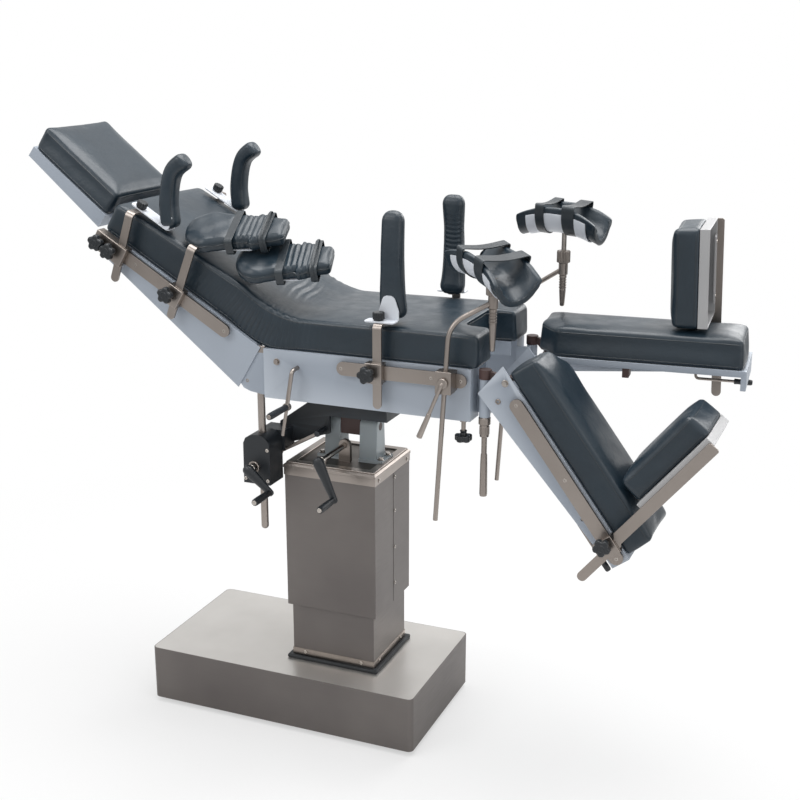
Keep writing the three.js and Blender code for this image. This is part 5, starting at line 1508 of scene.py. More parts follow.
@dataclass
class Mattress:
    """The mattress over the seat and the back: one body that bends over the hinge."""

    shop: Shop
    seat_end: float = 475.0
    fold_start: float = -40.3
    corner_x: float = -156.0
    back_start: float = 133.7
    back_end: float = 588.0
    half: float = 226.0
    base: float = 0.3
    seat_thickness: float = 92.0
    rise: float = 24.0
    roll: float = 13.0
    cut_from: float = 398.0
    cut_half: float = 105.0
    sag: float = 13.0
    hinge_drop: float = 14.0
    crown: float = 5.0
    blend_start: float = -70.0
    blend_end: float = 95.0
    blend_height: float = 45.0
    stuffing: Stuffing = field(default_factory=lambda: Stuffing(voxel=8.5, pressure=4.5, cap=5.0, frames=18))

    def _back_point(self, along: float, height: float) -> Array:
        """A point of the back section, in the seat's axes."""
        tilt, up = math.radians(BACK_ANGLE), height + self.hinge_drop
        return np.array([self.corner_x - along * math.cos(tilt) + up * math.sin(tilt),
                         -self.hinge_drop + along * math.sin(tilt) + up * math.cos(tilt)])

    def stations(self, count: int = 20) -> list[tuple[Array, Array, float]]:
        """Base points, upward directions and thicknesses from the seat's end to the head's."""
        made = [(np.array([x, self.base]), np.array([0.0, 1.0]), self.seat_thickness)
                for x in np.linspace(self.seat_end, self.fold_start + 15, count)]
        start, corner = np.array([self.fold_start, self.base]), np.array([self.corner_x, self.base])
        end = self._back_point(self.back_start, self.base)
        for share in np.linspace(0, 1, count):
            point = start * (1 - share) ** 2 + corner * 2 * share * (1 - share) + end * share ** 2
            way = (corner - start) * (1 - share) + (end - corner) * share
            way /= np.linalg.norm(way)
            drop = self.sag * math.sin(math.pi * share) ** 1.5
            up = np.array([way[1], -way[0]])
            made.append((point - up * drop, up, self.seat_thickness + self.rise * share + drop))
        tilt = math.radians(BACK_ANGLE)
        up = np.array([math.sin(tilt), math.cos(tilt)])
        for along in np.linspace(self.back_start + 15, self.back_end, count):
            share = (self.back_end - along) / (self.back_end - self.back_start)
            made.append((self._back_point(along, self.base), up, self.seat_thickness + self.rise * share))
        return made

    def foam(self) -> Piece:
        """The foam with its ends rolled and the U cut out of the seat's end."""
        stations = self.stations()
        steps = np.radians([0, 22, 45, 67, 90])
        rings = []

        def ring(point: Array, up: Array, thickness: float, inset: float) -> None:
            """Adds one section."""
            outline = round_box(-self.half + 1.5 + inset, self.half - 1.5 - inset, inset * 0.4,
                                thickness - 5 - inset, 11, 5)
            rings.append([[point[0] + up[0] * v, u, point[1] + up[1] * v] for u, v in outline])

        def end(station: tuple, way: Array, angles: Array) -> None:
            """Adds the sections of a rolled end."""
            point, up, thickness = station
            for angle in angles:
                back = self.roll * (1 - math.cos(angle))
                ring(point - way * back, up, thickness, self.roll * (1 - math.sin(angle)))

        end(stations[0], np.array([1.0, 0.0]), steps)
        for station in stations[1:-1]:
            ring(*station, 0.0)
        last_up = stations[-1][1]
        end(stations[-1], np.array([-last_up[1], last_up[0]]), steps[::-1])
        body = Piece.loft(np.array(rings))
        cut = Piece.plate(round_box(self.cut_from - 1, self.seat_end + 80, -self.cut_half - 1,
                                    self.cut_half + 1, 28, 8), Axis.Z, -30, 150)
        body.minus(cut)
        top = self.base + self.seat_thickness - 5
        edge = self.cut_half + 6
        return body.round_edges(8, 3, lambda m, w: abs(m.z - top) < 0.5 and abs(w.z) < 0.1
                                and m.x > self.cut_from - 6 and abs(m.y) < edge)

    def _path_shares(self, places: Array) -> tuple[Array, Array, Array]:
        """Each point's distance along the path, measured from the fold's middle, its height and up way."""
        line = self.stations(40)
        base = np.array([s[0] for s in line])
        ups = np.array([s[1] for s in line])
        run = run_of(base)
        run -= run[60]
        middle = base + ups * 45
        best = np.full(len(places), 1e9)
        along, height = np.zeros(len(places)), np.zeros(len(places))
        ups_at = np.zeros((len(places), 2))
        flat = places[:, [0, 2]]
        for i in range(len(line)):
            delta = flat - middle[i]
            across = np.abs(delta @ np.array([ups[i][1], -ups[i][0]]))
            closer = across + 0.02 * np.linalg.norm(delta, axis=1) < best
            best[closer] = (across + 0.02 * np.linalg.norm(delta, axis=1))[closer]
            way = np.array([-ups[i][1], ups[i][0]])
            along[closer] = run[i] + (delta @ way)[closer]
            height[closer] = ((flat - base[i]) @ ups[i])[closer]
            ups_at[closer] = ups[i]
        return along, height, ups_at

    def covered(self) -> Piece:
        """The mattress in its cover, crowned and creased round the fold."""
        base = self.base
        piece = self.stuffing.swell(self.foam(), lambda p: (p[:, 2] < base + 2) & (p[:, 0] > self.corner_x))

        def crease(places: Array, normals: Array) -> Array:
            """Crowns the top, folds the sides finely and the top broadly near the hinge."""
            along, height, ups = self._path_shares(places)
            v = places[:, 1] / self.half
            up_share = np.clip(height / 90, 0, 1)
            crown = self.crown * np.clip(1 - v ** 2, 0, 1) ** 0.7 * up_share ** 3
            crown *= np.clip((self.seat_end - places[:, 0]) / 40, 0, 1) ** 0.5
            places[:, 0] += ups[:, 0] * crown
            places[:, 2] += ups[:, 1] * crown
            near_fold = np.exp(-((along - 30) / 150.0) ** 2)
            on_side = np.clip((np.abs(v) - 0.93) / 0.05, 0,
                              1) * np.sin(np.pi * np.clip(height / 100, 0, 1)) ** 0.5
            waves = np.sin(along * np.pi / 17.0 + 1.1 * np.sin(height / 27.0 + v * 2.0)
                           + 0.9 * v) ** 2 * 2 - 1
            places[:, 1] += np.sign(v) * on_side * near_fold * 2.9 * waves
            top_fold = np.exp(-((along + 5 - 38 * v) / 62.0) ** 2) * up_share ** 3
            broad = np.sin((along - 46 * v) * 2 * np.pi / 34.0 + 0.8 * np.sin(v * 9))
            broad *= 0.55 + 0.45 * np.cos(v * 5)
            lift = top_fold * 3.6 * broad * np.clip((1.02 - np.abs(v)) / 0.12, 0, 1)
            return places + normals * lift[:, None]

        return piece.move_points(crease)

    def seams(self, piece: Piece) -> Piece:
        """The seams along both top edges and both ends."""
        stations = self.stations(34)
        loops = []
        for share, sink in ((0.88, 0.4), (0.07, 0.4)):
            sides = {s: [(p[0] + u[0] * t * share, s * self.half, p[1] + u[1] * t * share) for p, u,
                         t in stations[1:-1]] for s in (-1, 1)}
            foot_z = self.base + self.seat_thickness * share
            p, u, t = stations[-1]
            head = [(p[0] + u[0] * t * share - 1, y, p[1] + u[1] * t * share)
                    for y in np.linspace(-214, 214, 30)]
            arm = self.cut_half + 14
            foot = [(self.seat_end, y, foot_z) for y in np.linspace(212, arm, 8)]
            foot += [(x, self.cut_half, foot_z) for x in np.linspace(self.seat_end - 8, self.cut_from + 26,
                                                                     6)]
            foot += [(self.cut_from, y, foot_z) for y in np.linspace(self.cut_half - 26, 26 - self.cut_half,
                                                                     12)]
            foot += [(x, -self.cut_half, foot_z) for x in np.linspace(self.cut_from + 26, self.seat_end - 8,
                                                                      6)]
            foot += [(self.seat_end, y, foot_z) for y in np.linspace(-arm, -212, 8)]
            loops.append(seam_on(piece, [*sides[-1], *head, *sides[1][::-1], *foot], 1.3, sink))
        return loops[0].with_all(loops[1])

    def build(self) -> None:
        """Builds the mattress and its seams, both bending over the hinge."""
        matrix = seat_place().matrix
        piece = self.covered()
        made = upholster(self.shop, piece, self.seams(piece), "mattress", None, matrix,
                         ["seat_cushion", "mattress_fold", "back_cushion"])
        for obj in made:
            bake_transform(obj)


@dataclass
class Cushions:
    """The head cushion and both leg cushions."""

    shop: Shop

    def build(self) -> None:
        """Builds the head cushion, then one for each leg."""
        self._head()
        for side, place in ((Side.NEAR, Place(465.529, -95.264, 1140.0, lean=53.6, side=Side.NEAR)),
                            (Side.FAR, Place(472.599, 136.733, 1140.0, swing=4.5))):
            self._leg(side, place)

    def _head(self) -> None:
        """The head cushion, its far end slanting outward."""
        form = Cushion(-350, -47, -157, 157, 74, 3.3, 16, 12)
        foam = form.foam()

        def slant(places: Array, normals: Array) -> Array:
            """Leans the far end out."""
            places[:, 0] -= 0.2 * (places[:, 2] - 3.3) * np.clip((-250 - places[:, 0]) / 60, 0, 1)
            return places

        piece = form.covered(foam.move_points(slant))
        top = seam_on(piece, [(x - (12 if x < -330 else 0), y, z) for x, y,
                              z in even_loop(form.outline(), 64.0)])
        low = seam_on(piece, even_loop(form.outline(), 12.0))
        place = Place(-735.742, MID_Y, 1459.795, lean=HEAD_ANGLE)
        upholster(self.shop, piece, top.with_all(low), "head_pad", "head", place.matrix, ["head_cushion"])

    def _leg(self, side: Side, place: Place) -> None:
        """A leg cushion, chamfered at the hinge on its inner side."""
        x0, x1, half, base, thickness = -18.0, 543.0, 108.5, 20.3, 82.0
        form = Cushion(x0, x1, -half, half, thickness, base, 15, 12)

        def outline(inset: float) -> Flat:
            """The plan with its chamfered corner."""
            a, b, h = x0 + inset, x1 - inset, half - inset
            return rounded_polygon([(a + 60, -h), (b, -h), (b, h), (a, h), (a, -h + 80)], 15)

        top = base + thickness - form.crown
        foam = Piece.plate(outline(2.5), Axis.Z, base, top)
        foam.round_edges(12, 4, level(top))
        foam.round_edges(5, 2, level(base))
        piece = form.covered(foam)
        seams = seam_on(piece, even_loop(outline(0), base + thickness - 14))
        seams.with_all(seam_on(piece, even_loop(outline(0), base + 8)))
        upholster(self.shop, piece, seams, f"leg_pad_{side.label}", f"leg_{side.label}", place.matrix,
                  [f"leg_cushion_{side.label}"])


# Legs


@dataclass(frozen=True)
class LegForm:
    """Where the parts of one leg stand at rest."""

    side: Side
    swing_place: Place
    flex_place: Place
    release_place: Place
    foot_place: Place
    foot_lean: float
    pan_low: float
    pan_high: float


@dataclass
class Leg:
    """One leg: swivel, lock handle, frame, rail, release lever and foot plate."""

    shop: Shop
    form: LegForm
    half: float = 112.5
    pan_inner: float = -83.0
    pan_outer: float = 134.4
    pan_sheet: float = 3.0

    @property
    def label(self) -> str:
        """The side's name."""
        return self.form.side.label

    def build(self) -> None:
        """Builds the leg's pieces from the hinge outward."""
        self._swivel()
        self._lock_handle()
        self._frame()
        self._release()
        self._foot_bar()
        self._foot_cushion()

    def _swivel(self) -> None:
        """The cast swivel."""
        node = f"leg_swivel_{self.label}"
        dressed(node, f"{node}_cast", f"swivel_{self.label}", self.shop.brown, 1.8)

    def _lock_handle(self) -> None:
        """The lock handle with its collar, its ribbed ring and its tapered end."""
        node = f"leg_lock_handle_{self.label}"
        profile = [(0, -128.8), (14.6, -128.8), (16, -130.2), (16, -147.4), (14.6, -148.8), (12.4, -149.2),
                   (12.4, -181.4), (10.8, -183), (7.4, -184.5), (7.4, -229), (8.6, -232), (9.6, -262),
                   (10.5, -342), (9.2, -347.4), (5, -348.8), (0, -348.8)]
        handle = Piece.turned(profile, 36).with_all(ribbed(13.4, -176, -153, 18, 1.0, 1.2))
        handle.put(self.form.swing_place.matrix).finish(
            f"lock_handle_steel_{self.label}", f"lock_{self.label}", self.shop.steel, [node])

    def _frame(self) -> None:
        """The frame without the CAD's rail, then a rail of its own."""
        node, place = f"leg_frame_{self.label}", self.form.flex_place
        matrix = place.matrix
        frame_copy = Piece.copy_of(node)
        for box in ((-150, 700, self.half, 200, -200, 150),
                    (72, 536, -self.half - 9, -self.half + 3.5, -120, 4)):
            frame_copy.minus(Piece.block(*box).put(matrix))
        frame_copy.flattened().soften(0.9, 2).finish(f"{node}_painted", f"leg_{self.label}",
                                                     self.shop.frame_paint, [node])
        SideRail(self.shop, f"leg_rail_bar_{self.label}", f"leg_{self.label}", place, 46, 546, -2, self.half,
                 (62, 290, 530)).build()
        self.shop.screws(f"leg_pivot_cap_{self.label}", f"leg_{self.label}", matrix,
                         [(0, self.half - 0.4, 0)], (0, 1, 0), bolt=True)
        tray = Piece.block(76, 532, -106, 106, 12.5, 16.8).soften(1.0, 2)
        tray.put(matrix).finish(f"leg_tray_{self.label}", f"leg_{self.label}", self.shop.casting)
        bracket = Piece.block(228, 246, -104, -62, -24, 14).soften(1.6, 2)
        bracket.with_all(Piece.block(222, 252, -104, -62, 9, 12.6).soften(1.0, 2))
        bracket.put(matrix).finish(f"leg_bracket_{self.label}", f"leg_{self.label}", self.shop.brown)
        bush = Piece.turned([(3.6, 0), (7.4, 0), (7.4, 2.2), (6.4, 3.2), (3.6, 3.2), (3.6, 0)], 28)
        bush.put(matrix @ shift(30, self.half - 0.3, -44) @ turn("X", -90))
        bush.finish(f"leg_bushing_{self.label}", f"leg_{self.label}", self.shop.steel)

    def _release(self) -> None:
        """The release lever: a bent rod with a black grip."""
        node, matrix = f"leg_release_lever_{self.label}", self.form.release_place.matrix
        path = filleted([(0, 110, 0), (0, 79.5, 0), (4, 79.5, -30), (112, 79.5, -30)], 9)
        Piece.tube(path, 4.0).put(matrix).finish(
            f"release_rod_{self.label}", f"release_{self.label}", self.shop.steel, [node])
        grip = Piece.turned([(0, 0), (6.8, 0), (8, 1.6), (7.4, 10), (8, 26), (8, 44), (6.4, 48.6), (0, 49.4)],
                            28)
        grip.put(matrix @ shift(107, 79.5, -30) @ turn("Y", 90))
        grip.finish(f"release_grip_{self.label}", f"release_{self.label}", self.shop.plastic)

    def _foot_bar(self) -> None:
        """The clamped bar with the strap and the pan of the foot plate."""
        form, shop = self.form, self.shop
        shape = BarForm(118, form.pan_high - 1, None, form.foot_lean, self.half, width=26.0)
        place, lean = form.foot_place, turn("Y", -form.foot_lean)
        ClampedBar(self.shop, f"foot_bar_steel_{self.label}", f"foot_bar_{self.label}", f"foot_{self.label}",
                   place, shape).build()
        sheet, low, high = self.pan_sheet, form.pan_low, form.pan_high
        pan = Piece.block(-36, -10, self.pan_inner, self.pan_outer, low, high)
        pan.minus(Piece.block(-36 + sheet, 5, self.pan_inner + sheet, self.pan_outer - sheet, low + sheet,
                              high - sheet)).soften(1.3, 3)
        strap = Piece.plate(round_box(100, 138, 150, 340, 9), Axis.X, -13.6, -9.4).sheet_edges(0.7)
        brace = Piece.block(-33.2, -29, 24, 60, low + sheet, high - sheet).soften(0.8, 2)
        matrix = place.matrix @ lean
        pan.with_all(strap, brace).put(matrix).finish(f"foot_pan_{self.label}", f"foot_{self.label}",
                                                      self.shop.pan_steel)
        middle = (form.pan_low + form.pan_high) / 2
        shop.screws(f"foot_pan_screws_{self.label}", f"foot_{self.label}", matrix,
                    [(-29.2, 42, middle - 70), (-29.2, 42, middle + 70), (-9.8, 122, 170), (-9.8, 122, 320)],
                    (1, 0, 0))

    def _foot_cushion(self) -> None:
        """The foot plate's cushion on the pan's back."""
        form = self.form
        shape = Cushion(form.pan_low - 5, form.pan_high + 5, -88, 112, 70, 0, 15, 12)
        piece = shape.covered()
        matrix = (form.foot_place.matrix @ turn("Y", -form.foot_lean) @ shift(-36.3, 0, 0) @ turn("Y", -90))
        upholster(self.shop, piece, shape.seams(piece), f"foot_pad_{self.label}", f"foot_{self.label}",
                  matrix, [f"foot_cushion_{self.label}"])


# Supports


@dataclass
class SideSupport:
    """A lateral support on a seat rail: clamped bar, white plate, ribbed knob and pad."""

    shop: Shop
    side: Side
    slide: Place
    turn_place: Place
    waist: tuple[float, ...]
    creased: float = 0.0

    def build(self) -> None:
        """Builds the bar, the plates, the knob and the pad."""
        label, body = self.side.label, f"side_pad_{self.side.label}"
        ClampedBar(self.shop, f"side_bar_steel_{label}", f"side_support_bar_{label}", f"side_bar_{label}",
                   self.slide, BarForm(97, 133, 206)).build()
        matrix = self.turn_place.matrix
        foot = Piece.plate(round_box(-44, 42, -19.5, 19.5, 9), Axis.Z, 0.3, 4.3).sheet_edges()
        upright = Piece.plate([(-18, 3), (42, 3), (42, 28), (28, 68), (-2, 68), (-14, 30)], Axis.Y, -20.5,
                              -16.5)
        upright.round_edges(11, 5, lambda m, w: abs(m.z - 68) < 0.1 and abs(w.y) > 0.9)
        upright.sheet_edges()
        foot.with_all(upright).put(matrix).finish(f"side_plate_{label}", body, self.shop.plate)
        knob = ribbed(16, 6.5, 27, 14, 1.7, 3.0)
        knob.with_all(Piece.turned([(0, 3.8), (12, 3.8), (12.8, 4.6), (12.8, 7), (0, 7)], 32))
        knob.put(matrix @ shift(-8, 0.5, 0)).finish(f"side_knob_{label}", body, self.shop.plastic)
        self._pad(matrix, label, body)

    def _pad(self, matrix: Matrix, label: str, body: str) -> None:
        """The pad with its seams, creased across where asked."""
        heights = (3.0, 60.2, 160.3, 289.0)
        path = [(16, -38 - 16 * bow, z) for z, bow in zip(heights, (1, 0.25, 0, 0.5))]
        form = BentPad(path, (1, 0, 0), 68, 38, 16, 25, self.waist)
        piece = form.covered()

        def creases(places: Array, normals: Array) -> Array:
            """Shallow folds across the pad's middle."""
            depth = self.creased * np.exp(-((places[:, 2] - 165) / 52) ** 2)
            waves = np.sin(places[:, 2] * 2 * np.pi / 13 + 1.3 * np.sin(places[:, 0] / 14))
            return places + normals * (depth * waves)[:, None]

        piece.move_points(creases)
        upholster(self.shop, piece, form.seams(piece), f"side_pad_leather_{label}", body, matrix,
                  [f"side_support_pad_{label}"])


@dataclass
class ShoulderSupport:
    """A shoulder support at the head end: clamped bar, white plate, knob and hooked pad."""

    shop: Shop
    side: Side
    turn_place: Place

    def build(self) -> None:
        """Builds the bar, the plate, the knob and the pad."""
        label, body = self.side.label, f"shoulder_pad_{self.side.label}"
        slide = Place(-663.343, MID_Y, 1400.051, lean=BACK_ANGLE, side=self.side)
        ClampedBar(self.shop, f"shoulder_bar_steel_{label}",
                   f"shoulder_support_bar_{label}", f"shoulder_bar_{label}", slide,
                   BarForm(80, 130, 196, 12.5, away=92, knobs=(27.0, 70.0))).build()
        matrix = self.turn_place.matrix
        plate = Piece.plate(round_box(-28, 108, -33.5, 12.5, 11), Axis.Z, 0.3, 4.3).sheet_edges()
        cheek = Piece.plate(rounded_polygon([(78, 3), (108, 3), (104, 44), (84, 44)], 8), Axis.Y, 7, 11)
        plate.with_all(cheek.sheet_edges()).put(matrix).finish(
            f"shoulder_plate_{label}", body, self.shop.plate)
        knob = ribbed(15.5, 6.5, 25, 12, 2.2, 3.0)
        knob.with_all(Piece.turned([(0, 3.8), (11, 3.8), (11.8, 4.6), (11.8, 7), (0, 7)], 32))
        knob.put(matrix).finish(f"shoulder_knob_{label}", body, self.shop.plastic)
        path = [(104, -12, 6), (62, -12, 70), (38, -12, 146), (56, -12, 203)]
        form = BentPad(path, (0, 1, 0), 50, 48, 15, 17, (1.06, 1.0, 0.97, 1.04))
        piece = form.covered()
        upholster(self.shop, piece, form.seams(piece), f"shoulder_pad_leather_{label}", body, matrix,
                  [f"shoulder_support_pad_{label}"])


@dataclass
class ArmUnit:
    """An arm support: clamped bar, stem, white plate and a soft arm unit with its straps."""

    shop: Shop
    side: Side
    slide: Place
    turn_place: Place
    bar: BarForm
    board: tuple[float, float, float, float, float, float]
    stem_top: Point
    length: float = 296.0
    width: float = 164.0
    thickness: float = 33.0

    def build(self) -> None:
        """Builds the bar, the stem, the plate, the board and the straps."""
        label, body = self.side.label, f"arm_pad_{self.side.label}"
        ClampedBar(self.shop, f"arm_bar_steel_{label}", f"arm_board_bar_{label}", f"arm_bar_{label}",
                   self.slide, self.bar).build()
        turn_matrix = self.turn_place.matrix
        x, y, z, yaw, rise, roll = self.board
        matrix = turn_matrix @ shift(x, y, z) @ turn("Z", yaw) @ turn("Y", -rise) @ turn("X", roll)
        stem = Piece.tube(filleted([(0, 0, 0.5), (0, 0, 12), self.stem_top], 5), 6.0)
        stem.with_all(Piece.turned([(0, 0.4), (11, 0.4), (12, 1.4), (12, 4), (10.5, 6), (0, 6)], 36))
        stem.put(turn_matrix).finish(f"arm_stem_{label}", body, self.shop.steel)
        plate = Piece.plate(round_box(-84, 60, -58, 58, 14), Axis.Z, -11.5, -7.0).sheet_edges()
        plate.put(matrix).finish(f"arm_plate_{label}", body, self.shop.plate)
        self._board(matrix, label, body)

    def _outline(self, inset: float = 0.0) -> Flat:
        """The board's plan, its head end a deep D and its tail narrower."""
        a, b, h = -self.length / 2 + inset, self.length / 2 - inset, self.width / 2 - inset
        head = [(-x, y) for x, y in arc_points((-a - h * 0.9, 0), h, -90, 90, 16)]
        head = [(a + h * 0.9 + (p[0] - (a + h * 0.9)) * 0.9, p[1]) for p in head]
        tail = rounded_polygon([(b - 95, h * 0.93), (b - 30, h * 0.62), (b, h * 0.56), (b, -h * 0.56),
                                (b - 30, -h * 0.62), (b - 95, -h * 0.93)], 16, 4)
        return [*head[::-1], *tail[::-1]][::-1]

    def _board(self, matrix: Matrix, label: str, body: str) -> None:
        """The padded board with pleats, a wavy binding and two straps."""
        outline, top = self._outline(2), self.thickness - 2
        foam = Piece.plate(outline, Axis.Z, -6, top)
        foam.round_edges(12, 4, level(top))
        foam.round_edges(8, 3, level(-6))
        stuffing = Stuffing(voxel=4.6, pressure=5.0, cap=3.0, frames=12, evening=5)
        piece = stuffing.swell(foam)

        def shape(places: Array, normals: Array) -> Array:
            """Pulls the board in under its straps and pleats what lies between them."""
            x, up = places[:, 0], np.clip(places[:, 2] / self.thickness, 0, 1)
            waist = np.exp(-((x + 2) / 11) ** 2) * 3.2 + np.exp(-((x - 92) / 10) ** 2) * 3.4
            pleat = np.clip((x - 10) / 8, 0, 1) * np.clip((84 - x) / 8, 0, 1)
            waves = np.abs(np.sin((x - 10) * np.pi / 15.5)) ** 0.7 * 4.2 - 2.4
            lobe = np.clip((-x - 12) / 60, 0, 1) * 3.0 * np.clip(1 - (places[:, 1] / 76) ** 2, 0, 1)
            lumps = 0.7 * np.sin(x / 15 + places[:, 1] / 11) + 0.6 * np.sin(x / 9 - places[:, 1] / 19 + 1)
            lift = -waist + pleat * waves + lobe + lumps
            places[:, 2] += lift * up ** 2
            places[:, 1] += normals[:, 1] * (lift * 0.5) * (1 - up ** 4)
            return places

        piece.move_points(shape)
        rim = even_loop(self._outline(0), self.thickness * 0.5, 6.0)
        wavy = [(x, y, z + 1.8 * math.sin(i * 0.9)) for i, (x, y, z) in enumerate(rim)]
        binding = seam_on(piece, wavy, 2.3, 0.2)
        upholster(self.shop, piece, binding, f"arm_pad_leather_{label}", body, matrix,
                  [f"arm_board_pad_{label}"])
        bands = [self._band(-13, 9, 75, 0.0), self._band(82, 102, 65, 0.0), self._band(88, 94, 66, 12.0)]
        bands[0].with_all(*bands[1:]).put(matrix).finish(f"arm_straps_{label}", body, self.shop.strap, (), 50)

    def _band(self, x0: float, x1: float, half: float, slack: float) -> Piece:
        """A strap round the board, standing off its top by the slack."""
        low, top = -13.0, self.thickness + 0.6

        def raised(points: Flat, above: float) -> Flat:
            """Lifts what lies above a height by the slack, most in the middle."""
            return [(y, z + slack * max(0.0, 1 - (y / half) ** 2) if z > above else z) for y, z in points]

        def loop(grow: float, above: float) -> Flat:
            """The strap's section, grown outward and arched above a height."""
            plain = round_box(-half - grow, half + grow, low - grow, top + grow, 9 + grow, 6)
            line = raised(plain, top - 12)
            return raised([p for a, b in zip(line, line[1:] + line[:1]) for p in _between(a, b)], above)

        band = Piece.plate(loop(2.0, top - 1), Axis.X, x0, x1)
        return band.minus(Piece.plate(loop(0.0, top - 3), Axis.X, x0 - 5, x1 + 5)).sheet_edges(0.7)


def _between(a: Pair, b: Pair, step: float = 9.0) -> Flat:
    """Points from one to short of the other, a step apart."""
    count = max(1, int(math.dist(a, b) / step))
    return [(a[0] + (b[0] - a[0]) * i / count, a[1] + (b[1] - a[1]) * i / count) for i in range(count)]


# Leg holders


@dataclass(frozen=True)
class HolderForm:
    """One leg holder's sizes, in its slide's and its sleeve's own axes."""

    side: Side
    slide: Place
    turn_place: Place
    below: float
    above: float
    reach: Point
    link: float
    turned: float
    tilt: float
    grip: float


@dataclass
class LegHolder:
    """A leg holder: heavy clamp with its lever, bent rod, sleeve, collar, grip and trough."""

    shop: Shop
    form: HolderForm
    rod_y: float = 264.0
    inner: float = 52.0
    wall: float = 15.0
    arc: float = 96.0
    length: float = 236.0
    drop: float = 27.0
    sleeve_top: float = 51.3
    rod_slope: float = 3.5

    def build(self) -> None:
        """Builds the steel parts, then the stem with its grip, then the trough."""
        self._rod()
        self._stem()
        self._trough()

    def _rod(self) -> None:
        """The rod with its clamp, lever and sleeve."""
        form, label = self.form, self.form.side.label
        matrix, slope = form.slide.matrix, math.tan(math.radians(self.rod_slope))
        low = (-form.below * slope, self.rod_y, -form.below)
        knee = (form.above * slope, self.rod_y, form.above)
        sleeve = (knee[0] + form.reach[0], self.rod_y - form.reach[1], knee[2] + form.reach[2])
        rod = Piece.tube(filleted([low, knee, sleeve], 46, 12), 6.5, 8)
        tube = Piece.turned([(7.4, -17), (12.2, -17), (13, -16.2), (13, 16.2), (12.2, 17), (7.4, 17),
                             (7.4, -17)], 36)
        tube.put(shift(*sleeve))
        shape = BarForm(0, 0, toward=22, away=22)
        front, face = 246.3, 280.3
        profile = [*shape.jaws, (front, -27.3), (front, -30), (face, -30), (face, 30), (front, 30),
                   (front, 27.3)]
        clamp = Piece.plate(profile, Axis.X, -shape.away, shape.toward).soften(2.2, 3)
        lever = Piece.tube(filleted([(0, face - 6, 0), (0, face + 7, 0), (-62, face + 6, -150)], 12), 5.2)
        tip = Piece.rod((-34, face + 6.4, -83), (-62.5, face + 6, -151), 6.4, 8.0, 28).soften(2.2, 3)
        boss = Piece.turned([(0, 0), (13, 0), (14, 1.2), (14, 7), (12.6, 8.6), (0, 8.6)], 36)
        boss.put(shift(0, face - 0.5, 0) @ turn("X", -90))
        rod.with_all(tube, clamp, lever, tip, boss).put(matrix).finish(
            f"holder_rod_steel_{label}", f"holder_rod_{label}", self.shop.steel,
            [f"leg_holder_rod_{label}"])

    def _stem(self) -> None:
        """The stem in its sleeve, the ribbed collar over it and the ringed grip under it."""
        form, label = self.form, self.form.side.label
        matrix, body = form.turn_place.matrix, f"trough_{form.side.label}"
        top = self.sleeve_top + form.link
        stem = Piece.turned([(0, -20), (6.9, -20), (6.9, top - 20), (9, top - 14), (16, top - 8),
                             (16, top - 3), (0, top - 3)], 32)
        stem.put(matrix).finish(f"trough_stem_{label}", body, self.shop.chrome)
        ribs = 5
        profile = [(0, -17.4), (8.4, -17.4), (10, -19)]
        for i in range(ribs):
            z = -22 - i * 7.5
            profile += [(10.4, z), (10.4, z - 3.6), (8.9, z - 4.6), (8.9, z - 6.6)]
        end = -17.3 - form.grip
        profile += [(9.4, -62), (7.2, end + 12), (6.6, end + 3), (4.6, end), (0, end)]
        grip = Piece.turned(profile, 32).with_all(ribbed(19, 17.4, 51.2, 22, 1.4, 2.4))
        grip.put(matrix).finish(f"trough_grip_{label}", body, self.shop.steel)

    def _trough(self) -> None:
        """The padded trough, its white shell and its two straps."""
        form, label = self.form, self.form.side.label
        body = f"trough_{label}"
        centre = self.sleeve_top + form.link + self.inner
        matrix = form.turn_place.matrix @ shift(0, 0, centre) @ turn("Z", form.turned) @ turn("Y", -form.tilt)
        outer, arc = self.inner + self.wall, self.arc
        outline = [*arc_points((0, 0), outer - 1, -90 - arc, -90 + arc, 44),
                   *arc_points((0, 0), self.inner + 1, -90 + arc, -90 - arc, 36)]
        half = self.length / 2
        foam = Piece.plate(outline, Axis.X, -half + 1, half - 1)
        foam.round_edges(6.0, 3, lambda m, w: abs(abs(m.x) - half + 1) < 0.1)
        foam.round_edges(5.0, 3, lambda m, w: abs(w.x) > 0.9 and m.z > 1)
        piece = Stuffing(voxel=4.6, pressure=5.0, cap=3.5, frames=12).swell(foam)

        def flare(places: Array, normals: Array) -> Array:
            """Rolls both rims outward and wrinkles the padding a little."""
            angle = np.degrees(np.arctan2(places[:, 2], places[:, 1])) + 90
            angle = np.where(angle > 180, angle - 360, angle)
            rim = np.clip((np.abs(angle) - 62) / 34, 0, 1) ** 2
            flat = places[:, 1:3] / np.maximum(np.linalg.norm(places[:, 1:3], axis=1, keepdims=True), 1)
            places[:, 1:3] += flat * (rim * 5.0)[:, None]
            end = (np.abs(places[:, 0]) / half) ** 2.5
            high = np.clip((places[:, 2] + 30) / 40, 0, 1)
            places[:, 2] -= 8 * end * high + self._drop_at(places[:, 0])
            places[:, 1] += np.sign(places[:, 1]) * 5 * end * high
            waves = np.sin(places[:, 0] / 9.0 + angle / 17.0) * 0.7 + np.sin(places[:, 0] / 21
                                                                             - angle / 9) * 0.6
            return places + normals * (waves * np.clip(1.2 - np.abs(places[:, 0]) / half, 0, 1))[:, None]

